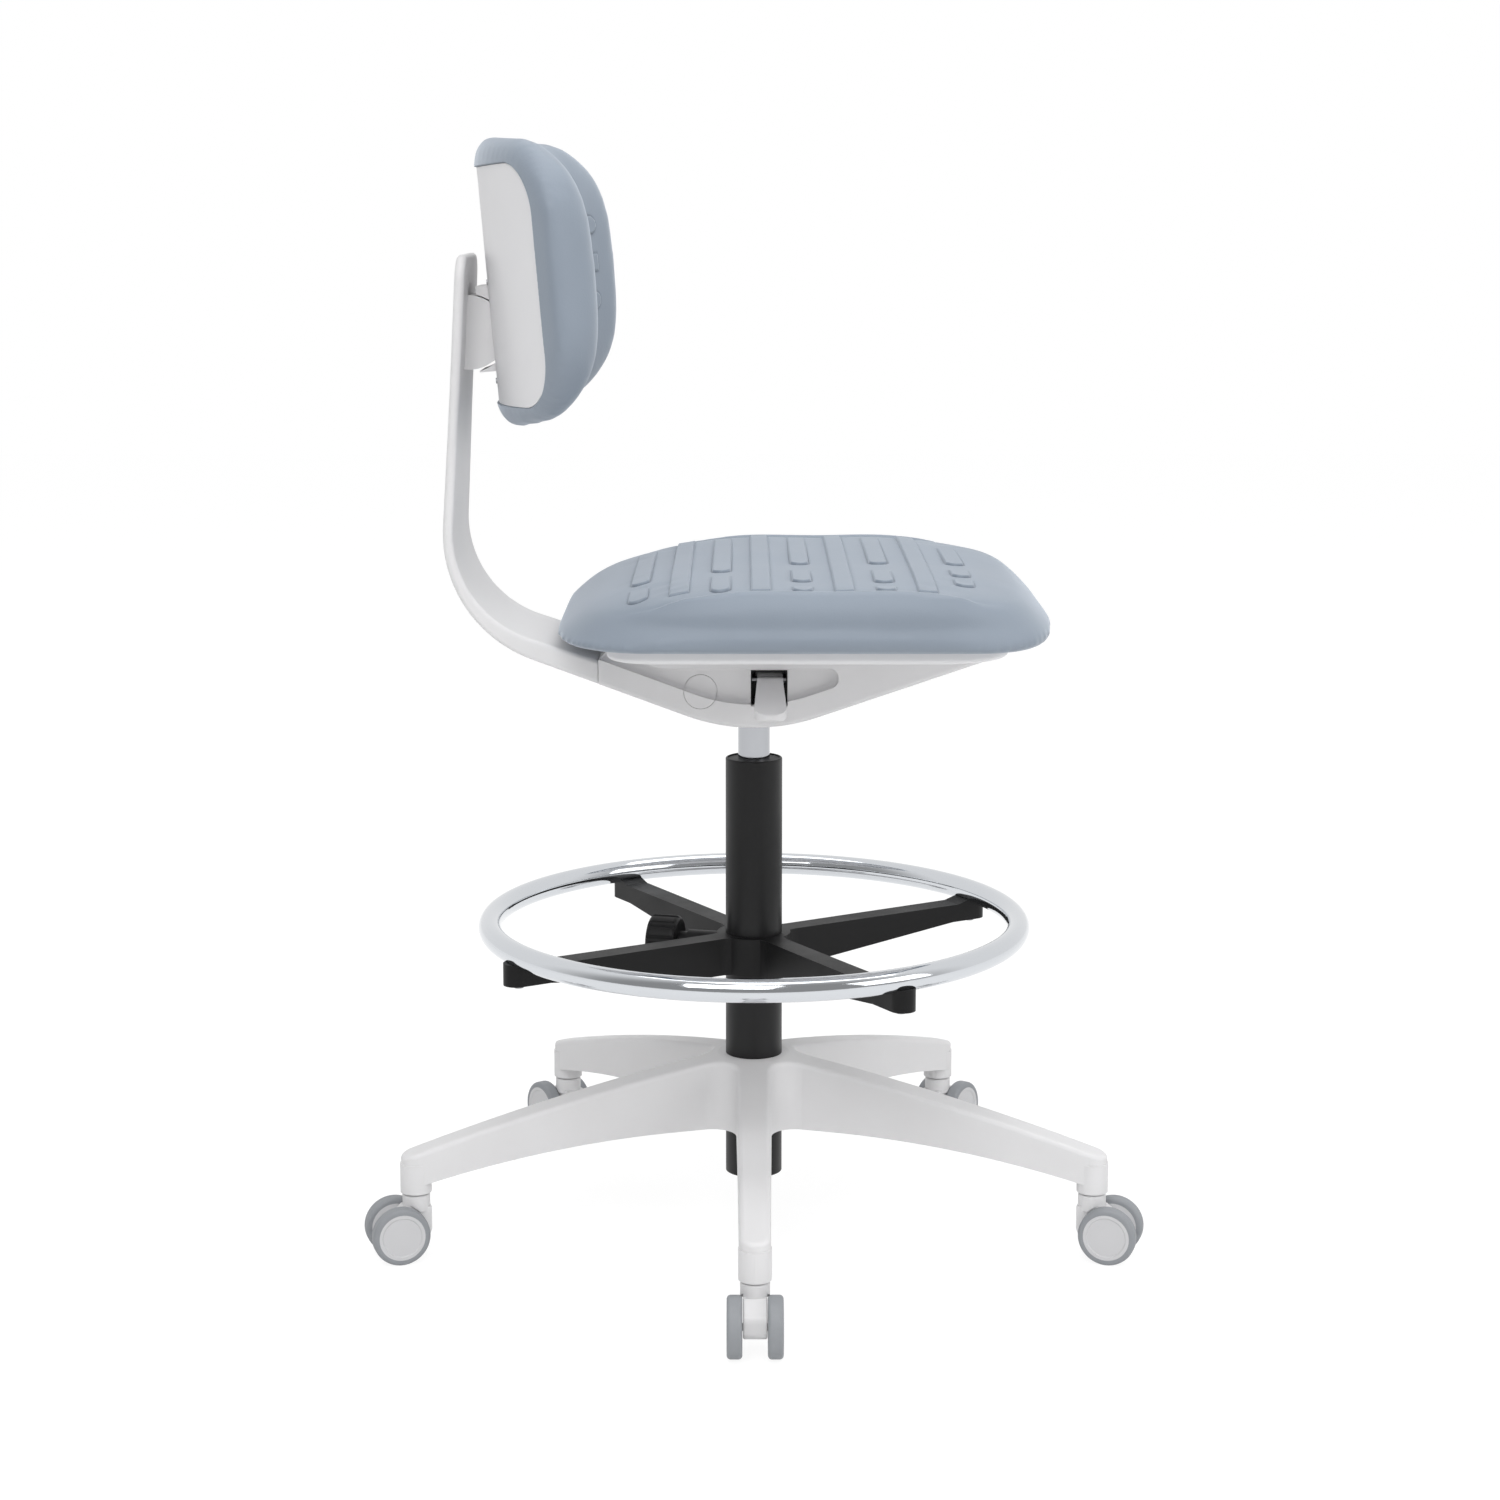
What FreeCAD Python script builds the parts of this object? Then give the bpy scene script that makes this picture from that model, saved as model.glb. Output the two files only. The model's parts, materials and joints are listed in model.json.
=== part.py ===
import FreeCAD, Part
import math
import os

# Cashier chair on castors, in millimetres. +X is the front of the seat, +Z is up,
# and the origin lies on the floor under the column.

V = FreeCAD.Vector

# Fits between pieces
running_fit = 0.05          # radial play of pins, shafts and slides
press_gap = 0.02            # between pieces that are pressed or moulded together
side_play = 0.4             # between flat faces that pass each other
foam_gap = 0.3              # between foam and what carries it

# Castors
castor_count = 5
first_castor_angle = -90.0
castor_circle_radius = 308.0
castor_trail = 17.0
wheel_radius = 25.0
wheel_width = 12.5
hub_radius = 20.0
hub_dish_radius = 16.5
hub_dish_depth = 0.9
hub_outer_wall = 1.8
tread_shoulder = 3.2
fork_width = 19.4
fork_edge_radius = 1.6
fork_bottom_radius = 9.0    # round foot of the fork about the axle
fork_heel_radius = 7.2
fork_overlap = 3.0          # web of the fork inside the neck
wheel_clearance = 0.6       # left round the treads under the neck
axle_radius = 3.0
stem_radius = 5.5
stem_rise = 25.0            # stem length above the fork neck
stem_end_gap = 2.0          # left over the stem in its socket
stem_collar_radius = 8.0
neck_radius = 12.0
neck_height = 14.0
neck_top = 57.0

# Base star
socket_bottom = 58.5
socket_height = 84.3
socket_radius = 13.5
arm_root_half_width = 17.0
arm_web_radius = 20.0
arm_draft = 1.6             # how far each side leans in from foot to top
arm_edge_radius = 4.0
arm_wall = 4.0
arm_roof = 5.0
hub_top = 155.0
hub_bottom = 92.3
hub_flat_radius = 32.0
arm_top_fall = 61.7         # fall of the arm top from the hub to the stem
arm_top_camber = 5.0        # rise of the top line over a straight one
arch_start_radius = 90.0
arch_rise = 32.3            # height of the arch under the arm
arch_crown_share = 0.27     # share of that height fallen at half way
hub_sleeve_wall = 9.0
rib_spacing = 60.0
rib_thickness = 3.0
rib_count = 3

# Column and gas lift
column_radius = 25.0
column_wall = 2.0
column_bottom = 46.6
column_top = 422.6
column_rim_radius = 1.4
end_plate_height = 5.4      # plate inside the tube foot, above the tube end
end_plate_thickness = 4.0
bush_length = 90.0
bush_step = 1.0             # bush face below the tube rim
lift_radius = 14.0
lift_wall = 2.5
lift_bottom = 112.0
lift_top = 486.0
lift_cap = 12.0
rod_guide_length = 20.0
rod_radius = 5.0
rod_foot_radius = 4.0
rod_bottom = 47.6
rod_top = 396.0
piston_length = 12.0
bearing_radius = 13.0
bearing_height = 6.0
shoulder_height = 3.0
clip_radius = 9.0
clip_thickness = 1.5
clip_groove_depth = 1.0
release_pin_radius = 3.0
release_pin_rise = 11.6
release_pin_depth = 9.0
release_travel = 4.8

# Foot ring
ring_radius = 233.7
ring_tube_radius = 10.0
ring_height = 274.0
spider_arm_count = 4
spider_first_angle = -59.0
spider_reach = 236.0
spider_tip_radius = 11.0
spider_root_half_width = 10.0
spider_web_radius = 30.0
spider_hub_radius = 32.5
spider_bottom = 232.0
spider_top = 265.0
spider_tip_bottom = 249.0
spider_taper_start = 50.5   # where the arm's underside starts to rise
spider_taper_end = 208.5
spider_saddle_rise = 3.0
ring_screw_radius = 2.5
ring_screw_head_radius = 4.6
ring_screw_head_height = 3.0
ring_screw_bite = 8.0
screw_edge_radius = 1.0
knob_angle = 166.0
knob_height = 251.0
knob_radius = 23.5
knob_start = 68.0
knob_length = 27.0
knob_edge_radius = 4.0
knob_lobes = 10
knob_flute_radius = 4.5
knob_flute_circle = 26.0    # distance of the flute axes from the knob axis
knob_neck_radius = 10.0
stud_radius = 4.0
stud_bite = 14.0
clamp_boss_radius = 12.0
clamp_boss_end = 60.0

# Seat carrier
carrier_half_width = 78.0
carrier_web_half_width = 69.0
carrier_top = 535.5
carrier_split_x = -133.0
carrier_vertex = (-2.5, 451.5)
carrier_rear_slope = 20.3
carrier_front_slope = 18.8
carrier_keel_radius = 170.0
carrier_nose_x = 213.0
carrier_nose_lean = 10.0
carrier_nose_radius = 30.0
carrier_edge_radius = 4.0
rim_depth = 20.5
flange_bottom = 514.0
flange_rear_x = -85.0
flange_rear_end_x = -118.0
flange_rear_radius = 24.0
recess_point_radius = 9.0
recess_cove_radius = 4.0
carrier_floor = 12.0
cavity_front_z = 502.0
cavity_corner_radius = 8.0
cavity_half_width = 46.0
cavity_front_x = 96.0
lift_boss_radius = 21.0
pivot_x = -46.0
pivot_z = 493.0
recline_pin_radius = 8.0
pivot_cap_radius = 14.0
pivot_cap_depth = 4.0
pivot_cap_groove = 0.35     # line left round each cap, which is flush
tongue_half_width = 37.5
tongue_eye_radius = 16.0
bush_outer_radius = 13.0

# Height lever
lever_x = 13.4
lever_slot = (-3.0, 28.5)
lever_slot_z = (481.0, 511.0)
lever_pivot_y = -55.0
lever_pivot_z = 501.0
lever_pin_radius = 3.0
lever_pin_bite = 9.0
lever_hub_radius = 6.5
lever_inner_end = 9.0
lever_thickness = 7.0
lever_root_width = 21.6
lever_tip_width = 27.0
lever_tip_y = -131.0
lever_droop = 20.0
lever_bend_y = -72.0
lever_bend_radius = 15.0
lever_edge_radius = 2.5
lever_heel_y = -43.0        # where the inner half thins to pass over the release pin
lever_foot_y = -27.0        # where the inner half widens to reach the release pin
lever_foot_x = -6.0
lever_flank_radius = 60.0
lever_corner_radius = 10.8

# Back arm
arm_thickness = 8.8
arm_lean = 3.05
arm_outer_top_x = -252.0
arm_top = 863.5
arm_top_corner = 22.0
arm_edge_radius = 4.0
arm_outer_radius = 114.0
arm_inner_radius = 93.0
arm_root_slope = 18.3
arm_root_half_span = 77.0
arm_neck_half_span = 65.0
arm_taper_start = 630.0
arm_taper_end = 745.0
arm_taper_radius = 400.0

# Backrest hinge
hinge_x = -236.0
hinge_z = 797.0
bracket_half_width = 30.0
drum_radius = 31.7
drum_setback = 8.0          # round of the bracket centred behind the hinge axis
drum_front = 15.0           # flat face of the drum, ahead of the hinge axis
hinge_pin_bite = 6.0
hinge_pin_radius = 3.5
lug_eye_radius = 7.0
lug_inner_y = 8.5
lug_thickness = 8.0
socket_gap = 1.7
socket_face = 17.5          # plate ahead of the drum, from the hinge axis
wedge_top = 39.2
wedge_bottom = -34.0
wedge_rear_top = 1.2        # rear ends of the socket, ahead of the hinge axis
wedge_rear_bottom = -2.0
flange_half_width = 40.0
flange_half_height = 48.0
flange_thickness = 4.0
screw_radius = 2.5
screw_head_radius = 4.5
screw_head_height = 2.6
bracket_screw_y = 23.5
bracket_screw_z = 18.0
bracket_screw_bite = 10.0
shell_screw_y = 34.0
shell_screw_z = 42.0
shell_screw_cover = 0.8     # shell left behind the screw tips at the middle

# Backrest, in a frame that leans with it: u runs forward from the hinge axis
backrest_lean = 4.9
shell_rear = 10.7
shell_curve_radius = 345.0
shell_thickness = 5.0
shell_half_width = 192.0
shell_bottom = -60.0
shell_top = 139.0
shell_corner_radius = 45.0
back_cushion_bottom = -84.0
back_cushion_top = 166.0
back_cushion_depth = 49.0
back_cushion_rear = 2.5     # foam edge behind the rear of the shell
back_cushion_half_width = 215.0
back_corner_radius = 62.0
back_rim_radius = 24.0      # distance over which the foam rounds off at its side edges
back_rim_share = 0.35       # thickness kept at the very edge
back_heel_rise = 14.0
back_shoulder_fall = 26.0
back_stations = [0.993, 0.963, 0.898, 0.791, 0.605, 0.349]
back_wing_rise = 19.0
back_wing_fall = 13.0
back_rib_first_z = -20.0
back_rib_count = 3
back_rib_half_width = 165.0

# Seat
pan_thickness = 9.5
pan_rear_inset = 47.5
pan_front_inset = 41.5
pan_side_inset = 23.0
pan_rear_corner = 40.0
pan_front_corner = 60.0
pan_edge_radius = 4.0
seat_screw_radius = 3.0
seat_screw_head_radius = 6.0
seat_screw_y = 60.0
seat_screw_x = (-70.0, 130.0)
seat_screw_bite = 20.0
seat_rear_x = -169.5
seat_front_x = 252.5
seat_crest_x = 62.0
seat_half_width = 220.0
seat_crown = 599.5
seat_side_fall = 3.5        # fall of the crown to the start of the rolled side
seat_roll_start = 0.92      # share of the half width where the side starts to roll
seat_edge_height = 552.0    # height of the widest line of the rolled side
seat_tuck = 6.0             # inset of the underside at both ends
seat_front_fall = [         # distance behind the front edge, share of the height there
    (0.0, 0.24), (22.0, 0.68), (48.0, 0.885), (96.0, 0.99)]
seat_rear_fall = [          # distance ahead of the rear edge, share of the height there
    (115.0, 0.96), (70.0, 0.84), (30.0, 0.57), (17.0, 0.415), (8.0, 0.268), (0.0, 0.12)]
seat_stations = [-0.996, -0.98, -0.95, -0.9, -0.8, -0.6, -0.3]
seat_square = 4.9           # how square the plan outline is
seat_corner_drop = 0.6      # share of the height lost at the corners of the plan
seat_corner_power = 3.1
rib_rise = 2.2
rib_width = 15.0
rib_pitch = 67.6
rib_first_x = -62.0
seat_rib_count = 4
rib_half_length = 190.0
# raised pads in the columns between the ribs, each from an inner to a rounded outer distance off the middle
seat_pads = [
    [(0.0, 139.0), (152.0, 190.0)],
    [(0.0, 85.0), (111.0, 190.0)],
    [(0.0, 36.0), (76.0, 147.0)],
    [(0.0, 35.0), (77.0, 152.0)],
    [(0.0, 25.0), (60.0, 103.0), (118.0, 150.0)]]

parts = {}


def cylinder(radius, z0, z1, x=0.0, y=0.0):
    return Part.makeCylinder(radius, z1 - z0, V(x, y, z0))


def cylinder_y(radius, x, z, y0, y1):
    return Part.makeCylinder(radius, y1 - y0, V(x, y0, z), V(0, 1, 0))


def ring(outer, inner, z0, z1):
    return cylinder(outer, z0, z1).cut(cylinder(inner, z0 - 1.0, z1 + 1.0))


def block(x0, x1, y0, y1, z0, z1):
    return Part.makeBox(x1 - x0, y1 - y0, z1 - z0, V(x0, y0, z0))


def turned(shape, degrees):
    copy = shape.copy()
    copy.rotate(V(0, 0, 0), V(0, 0, 1), degrees)
    return copy


def moved(shape, x, y, z):
    copy = shape.copy()
    copy.translate(V(x, y, z))
    return copy


def in_xz(a, b):
    return V(a, 0.0, b)


def in_yz(a, b):
    return V(0.0, a, b)


def in_xy(a, b):
    return V(a, b, 0.0)


def closed_wire(start, steps, place):
    """Closed outline: each step is an end point, or a pair of a through point and an end point."""
    edges = []
    here = place(*start)
    for step in steps + [start]:
        curved = isinstance(step[0], tuple)
        there = place(*(step[1] if curved else step))
        if curved:
            edges.append(Part.Arc(here, place(*step[0]), there).toShape())
        elif here.distanceToPoint(there) > 1e-6:
            edges.append(Part.makeLine(here, there))
        here = there
    return Part.Wire(edges)


def rounded_wire(corners, place):
    """Closed polygon of (a, b, radius) corners, each corner rounded by its radius."""
    edges = []
    joints = []
    count = len(corners)
    for index, (a, b, radius) in enumerate(corners):
        corner = place(a, b)
        back = place(*corners[index - 1][:2]) - corner
        ahead = place(*corners[(index + 1) % count][:2]) - corner
        if radius == 0:
            joints.append((corner, corner))
            continue
        back.normalize()
        ahead.normalize()
        half = back.getAngle(ahead) / 2.0
        run = radius / math.tan(half)
        inward = back + ahead
        inward.normalize()
        middle = corner + inward * (radius / math.sin(half) - radius)
        start = corner + back * run
        end = corner + ahead * run
        edges.append(Part.Arc(start, middle, end).toShape())
        joints.append((start, end))
    for index in range(count):
        start = joints[index][1]
        end = joints[(index + 1) % count][0]
        if start.distanceToPoint(end) > 1e-6:
            edges.append(Part.makeLine(start, end))
    return Part.Wire(Part.__sortEdges__(edges))


def prism(wire, direction, start):
    """Solid from an outline, pushed along a direction, from start to start plus its length."""
    face = Part.Face(wire)
    face.translate(start)
    return face.extrude(direction)


def prism_y(wire, half_width):
    return prism(wire, V(0, 2.0 * half_width, 0), V(0, -half_width, 0))


def crossing(point, slope, other_point, other_slope):
    """Where two lines meet, each given by a point and its angle above +X in degrees."""
    first = math.tan(math.radians(slope))
    second = math.tan(math.radians(other_slope))
    x = (other_point[1] - point[1] + first * point[0] - second * other_point[0]) / (first - second)
    return (x, point[1] + first * (x - point[0]))


def star_wire(angles, reach, tip, root, web, z):
    """Outline at height z of round-ended arms whose roots run together in hollow curves."""
    lean = math.asin((root - tip) / reach)
    half_step = math.pi / len(angles)
    web_centre = (reach * math.sin(lean) + tip + web) / math.sin(half_step + lean)
    tip_x = reach + tip * math.sin(lean)
    tip_y = tip * math.cos(lean)
    web_x = web_centre * math.cos(half_step) - web * math.sin(lean)
    web_y = web_centre * math.sin(half_step) - web * math.cos(lean)

    def at(angle, x, y):
        c = math.cos(angle)
        s = math.sin(angle)
        return V(x * c - y * s, x * s + y * c, z)

    edges = []
    for number, degrees in enumerate(angles):
        arm = math.radians(degrees)
        following = math.radians(angles[(number + 1) % len(angles)])
        edges.append(Part.makeLine(at(arm, web_x, -web_y), at(arm, tip_x, -tip_y)))
        nose = at(arm, reach + tip, 0.0)
        edges.append(Part.Arc(at(arm, tip_x, -tip_y), nose, at(arm, tip_x, tip_y)).toShape())
        edges.append(Part.makeLine(at(arm, tip_x, tip_y), at(arm, web_x, web_y)))
        hollow = at(arm + half_step, web_centre - web, 0.0)
        edges.append(Part.Arc(at(arm, web_x, web_y), hollow, at(following, web_x, -web_y)).toShape())
    return Part.Wire(edges)


def turned_solid(wire):
    return Part.Face(wire).revolve(V(0, 0, 0), V(0, 0, 1), 360.0)


def spokes(count, first):
    return [first + 360.0 * number / count for number in range(count)]


castor_angles = spokes(castor_count, first_castor_angle)
spider_angles = spokes(spider_arm_count, spider_first_angle)
axle_height = wheel_radius
wheel_inner = fork_width / 2.0 + side_play
wheel_outer = wheel_inner + wheel_width


# Base star
def base_profile(roof, floor):
    """Half section of the star: a cambered top line over an arched underside."""
    past_tip = castor_circle_radius + socket_radius + 10.0
    shelf = hub_top - roof
    run = past_tip - hub_flat_radius
    end = shelf - arm_top_fall * run / (castor_circle_radius - hub_flat_radius)
    middle = ((hub_flat_radius + past_tip) / 2.0, (shelf + end) / 2.0 + arm_top_camber)
    steps = [(hub_flat_radius, shelf), (middle, (past_tip, end))]
    if floor is None:
        steps += [(past_tip, 0.0), (0.0, 0.0)]
    else:
        arch_end = hub_bottom - floor
        arch_middle = (arch_start_radius + past_tip) / 2.0
        arch_crown = hub_bottom - floor * arch_crown_share
        steps += [(past_tip, arch_end), ((arch_middle, arch_crown), (arch_start_radius, hub_bottom))]
        steps += [(0.0, hub_bottom)]
    return closed_wire((0.0, shelf), steps, in_xz)


def star_solid(inset, z0, z1):
    low = star_wire(castor_angles, castor_circle_radius, socket_radius - inset,
                    arm_root_half_width - inset, arm_web_radius + inset, z0)
    top_inset = inset + arm_draft
    high = star_wire(castor_angles, castor_circle_radius, socket_radius - top_inset,
                     arm_root_half_width - top_inset, arm_web_radius + top_inset, z1)
    return Part.makeLoft([low, high], True, True)


def brim_edges(body):
    """Edges round the upward faces, where these meet the sides."""
    uses = {}
    for face in body.Faces:
        u0, u1, v0, v1 = face.ParameterRange
        if face.normalAt((u0 + u1) / 2.0, (v0 + v1) / 2.0).z > 0.5:
            for edge in face.Edges:
                uses.setdefault(edge.hashCode(), []).append(edge)
    return [found[0] for found in uses.values() if len(found) == 1]


def base_star():
    skin = star_solid(0.0, 0.0, hub_top)
    body = skin.common(turned_solid(base_profile(0.0, arch_rise)))
    top_edges = brim_edges(body)
    body = body.makeFillet(arm_edge_radius, top_edges)
    pocket = star_solid(arm_wall, 0.0, hub_top).common(turned_solid(base_profile(arm_roof, None)))
    pocket = pocket.cut(cylinder(column_radius + hub_sleeve_wall, 0.0, hub_top))
    for angle in castor_angles:
        socket = cylinder(socket_radius, socket_bottom, socket_height, castor_circle_radius)
        stay = cylinder(socket_radius, 0.0, hub_top, castor_circle_radius)
        pocket = pocket.cut(turned(stay, angle))
        for number in range(rib_count):
            rho = arch_start_radius + rib_spacing * number
            wide = socket_radius * 2.0
            rib = block(rho, rho + rib_thickness, -wide, wide, 0.0, hub_top)
            pocket = pocket.cut(turned(rib, angle))
        body = body.fuse(turned(socket, angle))
    body = body.cut(pocket)
    body = body.cut(cylinder(column_radius + press_gap, 0.0, hub_top + 10.0))
    for angle in castor_angles:
        bore_top = neck_top + stem_rise + stem_end_gap
        bore = cylinder(stem_radius + running_fit, 0.0, bore_top, castor_circle_radius)
        body = body.cut(turned(bore, angle))
    return body.removeSplitter()


parts["base_star"] = base_star()


# Castors, made at the column axis with the trail along +X, then set out on their circle
def castor_fork():
    neck_bottom = neck_top - neck_height
    web_top = neck_bottom + fork_overlap
    low = axle_height - fork_bottom_radius
    heel = castor_trail + fork_bottom_radius
    web = rounded_wire([
        (-neck_radius, web_top, 0), (-neck_radius, low, neck_radius), (heel, low, fork_heel_radius),
        (heel, axle_height + fork_bottom_radius, fork_bottom_radius), (neck_radius, web_top, 0)], in_xz)
    body = prism_y(web, fork_width / 2.0)
    outer = [edge for edge in body.Edges
             if edge.BoundBox.YLength < 0.01 and edge.CenterOfMass.z < web_top - 0.1]
    body = body.makeFillet(fork_edge_radius, outer)
    neck = cylinder(neck_radius, neck_bottom, neck_top)
    neck = neck.makeFillet(fork_edge_radius, [neck.Edges[0]])
    body = body.fuse(neck).removeSplitter()
    for y0, y1 in ((-neck_radius, -fork_width / 2.0), (fork_width / 2.0, neck_radius)):
        body = body.cut(cylinder_y(wheel_radius + wheel_clearance, castor_trail, axle_height, y0, y1))
    body = body.cut(cylinder(stem_radius + press_gap, neck_bottom, neck_top + 1.0))
    return body.cut(cylinder_y(axle_radius + press_gap, castor_trail, axle_height, -fork_width, fork_width))


def castor_pins():
    stem = cylinder(stem_radius, neck_top - neck_height, neck_top + stem_rise)
    stem = stem.fuse(cylinder(stem_collar_radius, neck_top + press_gap, socket_bottom - side_play / 2.0))
    reach = wheel_outer - hub_dish_depth - hub_outer_wall - side_play
    axle = cylinder_y(axle_radius, castor_trail, axle_height, -reach, reach)
    return Part.makeCompound([stem, axle])


def about_axle(outline):
    """Turn a (width, radius) outline about the castor axle."""
    wire = closed_wire(outline[0], outline[1], lambda w, r: V(castor_trail, w, axle_height + r))
    return Part.Face(wire).revolve(V(castor_trail, 0, axle_height), V(0, 1, 0), 360.0)


def wheel_hub():
    bore = axle_radius + running_fit
    face = wheel_outer - hub_dish_depth
    blind = face - hub_outer_wall
    return about_axle(((wheel_inner, bore), [
        (wheel_inner, hub_radius), (wheel_outer, hub_radius), (wheel_outer, hub_dish_radius + hub_dish_depth),
        (face, hub_dish_radius), (face, 0.0), (blind, 0.0), (blind, bore)]))


def wheel_tread():
    inner = hub_radius + press_gap
    bend = tread_shoulder * (1.0 - math.sqrt(0.5))
    return about_axle(((wheel_inner, inner), [
        (wheel_inner, wheel_radius - tread_shoulder),
        ((wheel_inner + bend, wheel_radius - bend), (wheel_inner + tread_shoulder, wheel_radius)),
        (wheel_outer - tread_shoulder, wheel_radius),
        ((wheel_outer - bend, wheel_radius - bend), (wheel_outer, wheel_radius - tread_shoulder)),
        (wheel_outer, inner)]))


def mirrored(shape):
    return shape.mirror(V(0, 0, 0), V(0, 1, 0))


castor_pieces = {
    "fork": castor_fork(),
    "pins": castor_pins(),
    "hub_left": wheel_hub(),
    "hub_right": mirrored(wheel_hub()),
    "tread_left": wheel_tread(),
    "tread_right": mirrored(wheel_tread()),
}
for number, angle in enumerate(castor_angles, 1):
    for piece, shape in castor_pieces.items():
        parts[f"caster_{number}_{piece}"] = turned(moved(shape, castor_circle_radius, 0, 0), angle)


# Column and gas lift
bore_radius = column_radius - column_wall
plate_bottom = column_bottom + end_plate_height
plate_top = plate_bottom + end_plate_thickness
bush_top = column_top - bush_step
shoulder_bottom = plate_top + bearing_height + side_play / 2.0
shoulder_top = shoulder_bottom + shoulder_height

tube = ring(column_radius, bore_radius, column_bottom, column_top)
rim = [edge for edge in tube.Edges
       if edge.BoundBox.ZMin > column_top - 0.1 and edge.BoundBox.XMax > column_radius - 0.1]
tube = tube.makeFillet(column_rim_radius, rim)
end_plate = ring(bore_radius, rod_foot_radius + side_play, plate_bottom, plate_top)
parts["column_tube"] = tube.fuse(end_plate).removeSplitter()

parts["column_guide_bush"] = ring(bore_radius - press_gap, lift_radius + running_fit,
                                  bush_top - bush_length, bush_top)
parts["thrust_bearing"] = ring(bearing_radius, rod_foot_radius + side_play,
                               plate_top, plate_top + bearing_height)

rod = cylinder(rod_foot_radius, rod_bottom, shoulder_bottom)
rod = rod.fuse(cylinder(bearing_radius, shoulder_bottom, shoulder_top))
rod = rod.fuse(cylinder(rod_radius, shoulder_top, rod_top))
lift_bore = lift_radius - lift_wall
rod = rod.fuse(cylinder(lift_bore - running_fit, rod_top - piston_length, rod_top))
clip_top = plate_bottom - side_play / 2.0
clip_seat = rod_foot_radius - clip_groove_depth
clip_bottom = clip_top - clip_thickness
groove = ring(rod_foot_radius + clip_groove_depth, clip_seat, clip_bottom, clip_top)
parts["piston_rod"] = rod.cut(groove).removeSplitter()
parts["retaining_clip"] = ring(clip_radius, clip_seat + press_gap, clip_bottom, clip_top)

lift = cylinder(lift_radius, lift_bottom, lift_top)
guide_top = lift_bottom + rod_guide_length
lift = lift.cut(cylinder(lift_bore, guide_top, lift_top - lift_cap))
lift = lift.cut(cylinder(rod_radius + running_fit, lift_bottom - 1.0, guide_top + 1.0))
pin_well = release_pin_depth + release_travel + side_play
well = cylinder(release_pin_radius + running_fit, lift_top - pin_well, lift_top + 1.0)
parts["gas_cylinder"] = lift.cut(well)
pin_top = lift_top + release_pin_rise
parts["release_pin"] = cylinder(release_pin_radius, lift_top - release_pin_depth, pin_top)


# Foot ring
def spider_profile():
    tip_out = spider_reach + spider_tip_radius * 2.0
    return closed_wire((0.0, spider_top), [
        (spider_reach - spider_tip_radius * 2.0, spider_top),
        (spider_reach - spider_tip_radius, spider_top + spider_saddle_rise),
        (tip_out, spider_top + spider_saddle_rise),
        (tip_out, spider_tip_bottom),
        (spider_taper_end, spider_tip_bottom),
        (spider_taper_start, spider_bottom),
        (0.0, spider_bottom)], in_xz)


def ring_screw(clearance):
    shank_top = ring_height - ring_tube_radius + ring_screw_bite
    head_bottom = spider_tip_bottom - ring_screw_head_height
    if clearance:
        wide = ring_screw_radius + clearance
        return cylinder(wide, spider_tip_bottom - 1.0, shank_top + side_play, ring_radius)
    head = cylinder(ring_screw_head_radius, head_bottom, spider_tip_bottom, ring_radius)
    rim_edges = [edge for edge in head.Edges if edge.BoundBox.ZMax < head_bottom + 0.1]
    head = head.makeFillet(screw_edge_radius, rim_edges)
    return head.fuse(cylinder(ring_screw_radius, spider_tip_bottom, shank_top, ring_radius))


def along_knob(radius, start, end):
    direction = V(math.cos(math.radians(knob_angle)), math.sin(math.radians(knob_angle)), 0)
    return Part.makeCylinder(radius, end - start, direction * start + V(0, 0, knob_height), direction)


ring_path = Part.makeTorus(ring_radius, ring_tube_radius, V(0, 0, ring_height))
spider = prism(star_wire(spider_angles, spider_reach, spider_tip_radius, spider_root_half_width,
                         spider_web_radius, 0.0), V(0, 0, spider_top * 2.0), V(0, 0, 0))
spider = spider.common(turned_solid(spider_profile()))
spider = spider.fuse(cylinder(spider_hub_radius, spider_bottom, spider_top))
spider = spider.fuse(along_knob(clamp_boss_radius, column_radius, clamp_boss_end))
spider = spider.cut(cylinder(column_radius + running_fit * 2.0, 0.0, spider_top * 2.0))
spider = spider.cut(along_knob(stud_radius + running_fit, 0.0, clamp_boss_end * 2.0))
saddle = Part.makeTorus(ring_radius, ring_tube_radius + press_gap, V(0, 0, ring_height))
spider = spider.cut(saddle)
foot_ring = ring_path
screws = []
for angle in spider_angles:
    hole = turned(ring_screw(press_gap), angle)
    spider = spider.cut(hole)
    foot_ring = foot_ring.cut(hole)
    screws.append(turned(ring_screw(0.0), angle))
parts["footring_tube"] = foot_ring
parts["footring_spider"] = spider.removeSplitter()
parts["footring_screws"] = Part.makeCompound(screws)


def clamp_knob():
    body = cylinder(knob_radius, 0.0, knob_length)
    rims = [edge for edge in body.Edges if edge.BoundBox.ZLength < 0.1]
    body = body.makeFillet(knob_edge_radius, rims)
    for angle in spokes(knob_lobes, 0.0):
        flute = cylinder(knob_flute_radius, -1.0, knob_length + 1.0, knob_flute_circle)
        body = body.cut(turned(flute, angle))
    body = body.fuse(cylinder(knob_neck_radius, clamp_boss_end + side_play - knob_start, 0.0))
    body = body.cut(cylinder(stud_radius + press_gap, -knob_start, stud_bite))
    body.rotate(V(0, 0, 0), V(0, 1, 0), 90.0)
    body.translate(V(knob_start, 0, knob_height))
    return turned(body, knob_angle)


parts["clamp_knob"] = clamp_knob()
parts["clamp_stud"] = along_knob(stud_radius, column_radius + side_play, knob_start + stud_bite)


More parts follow.
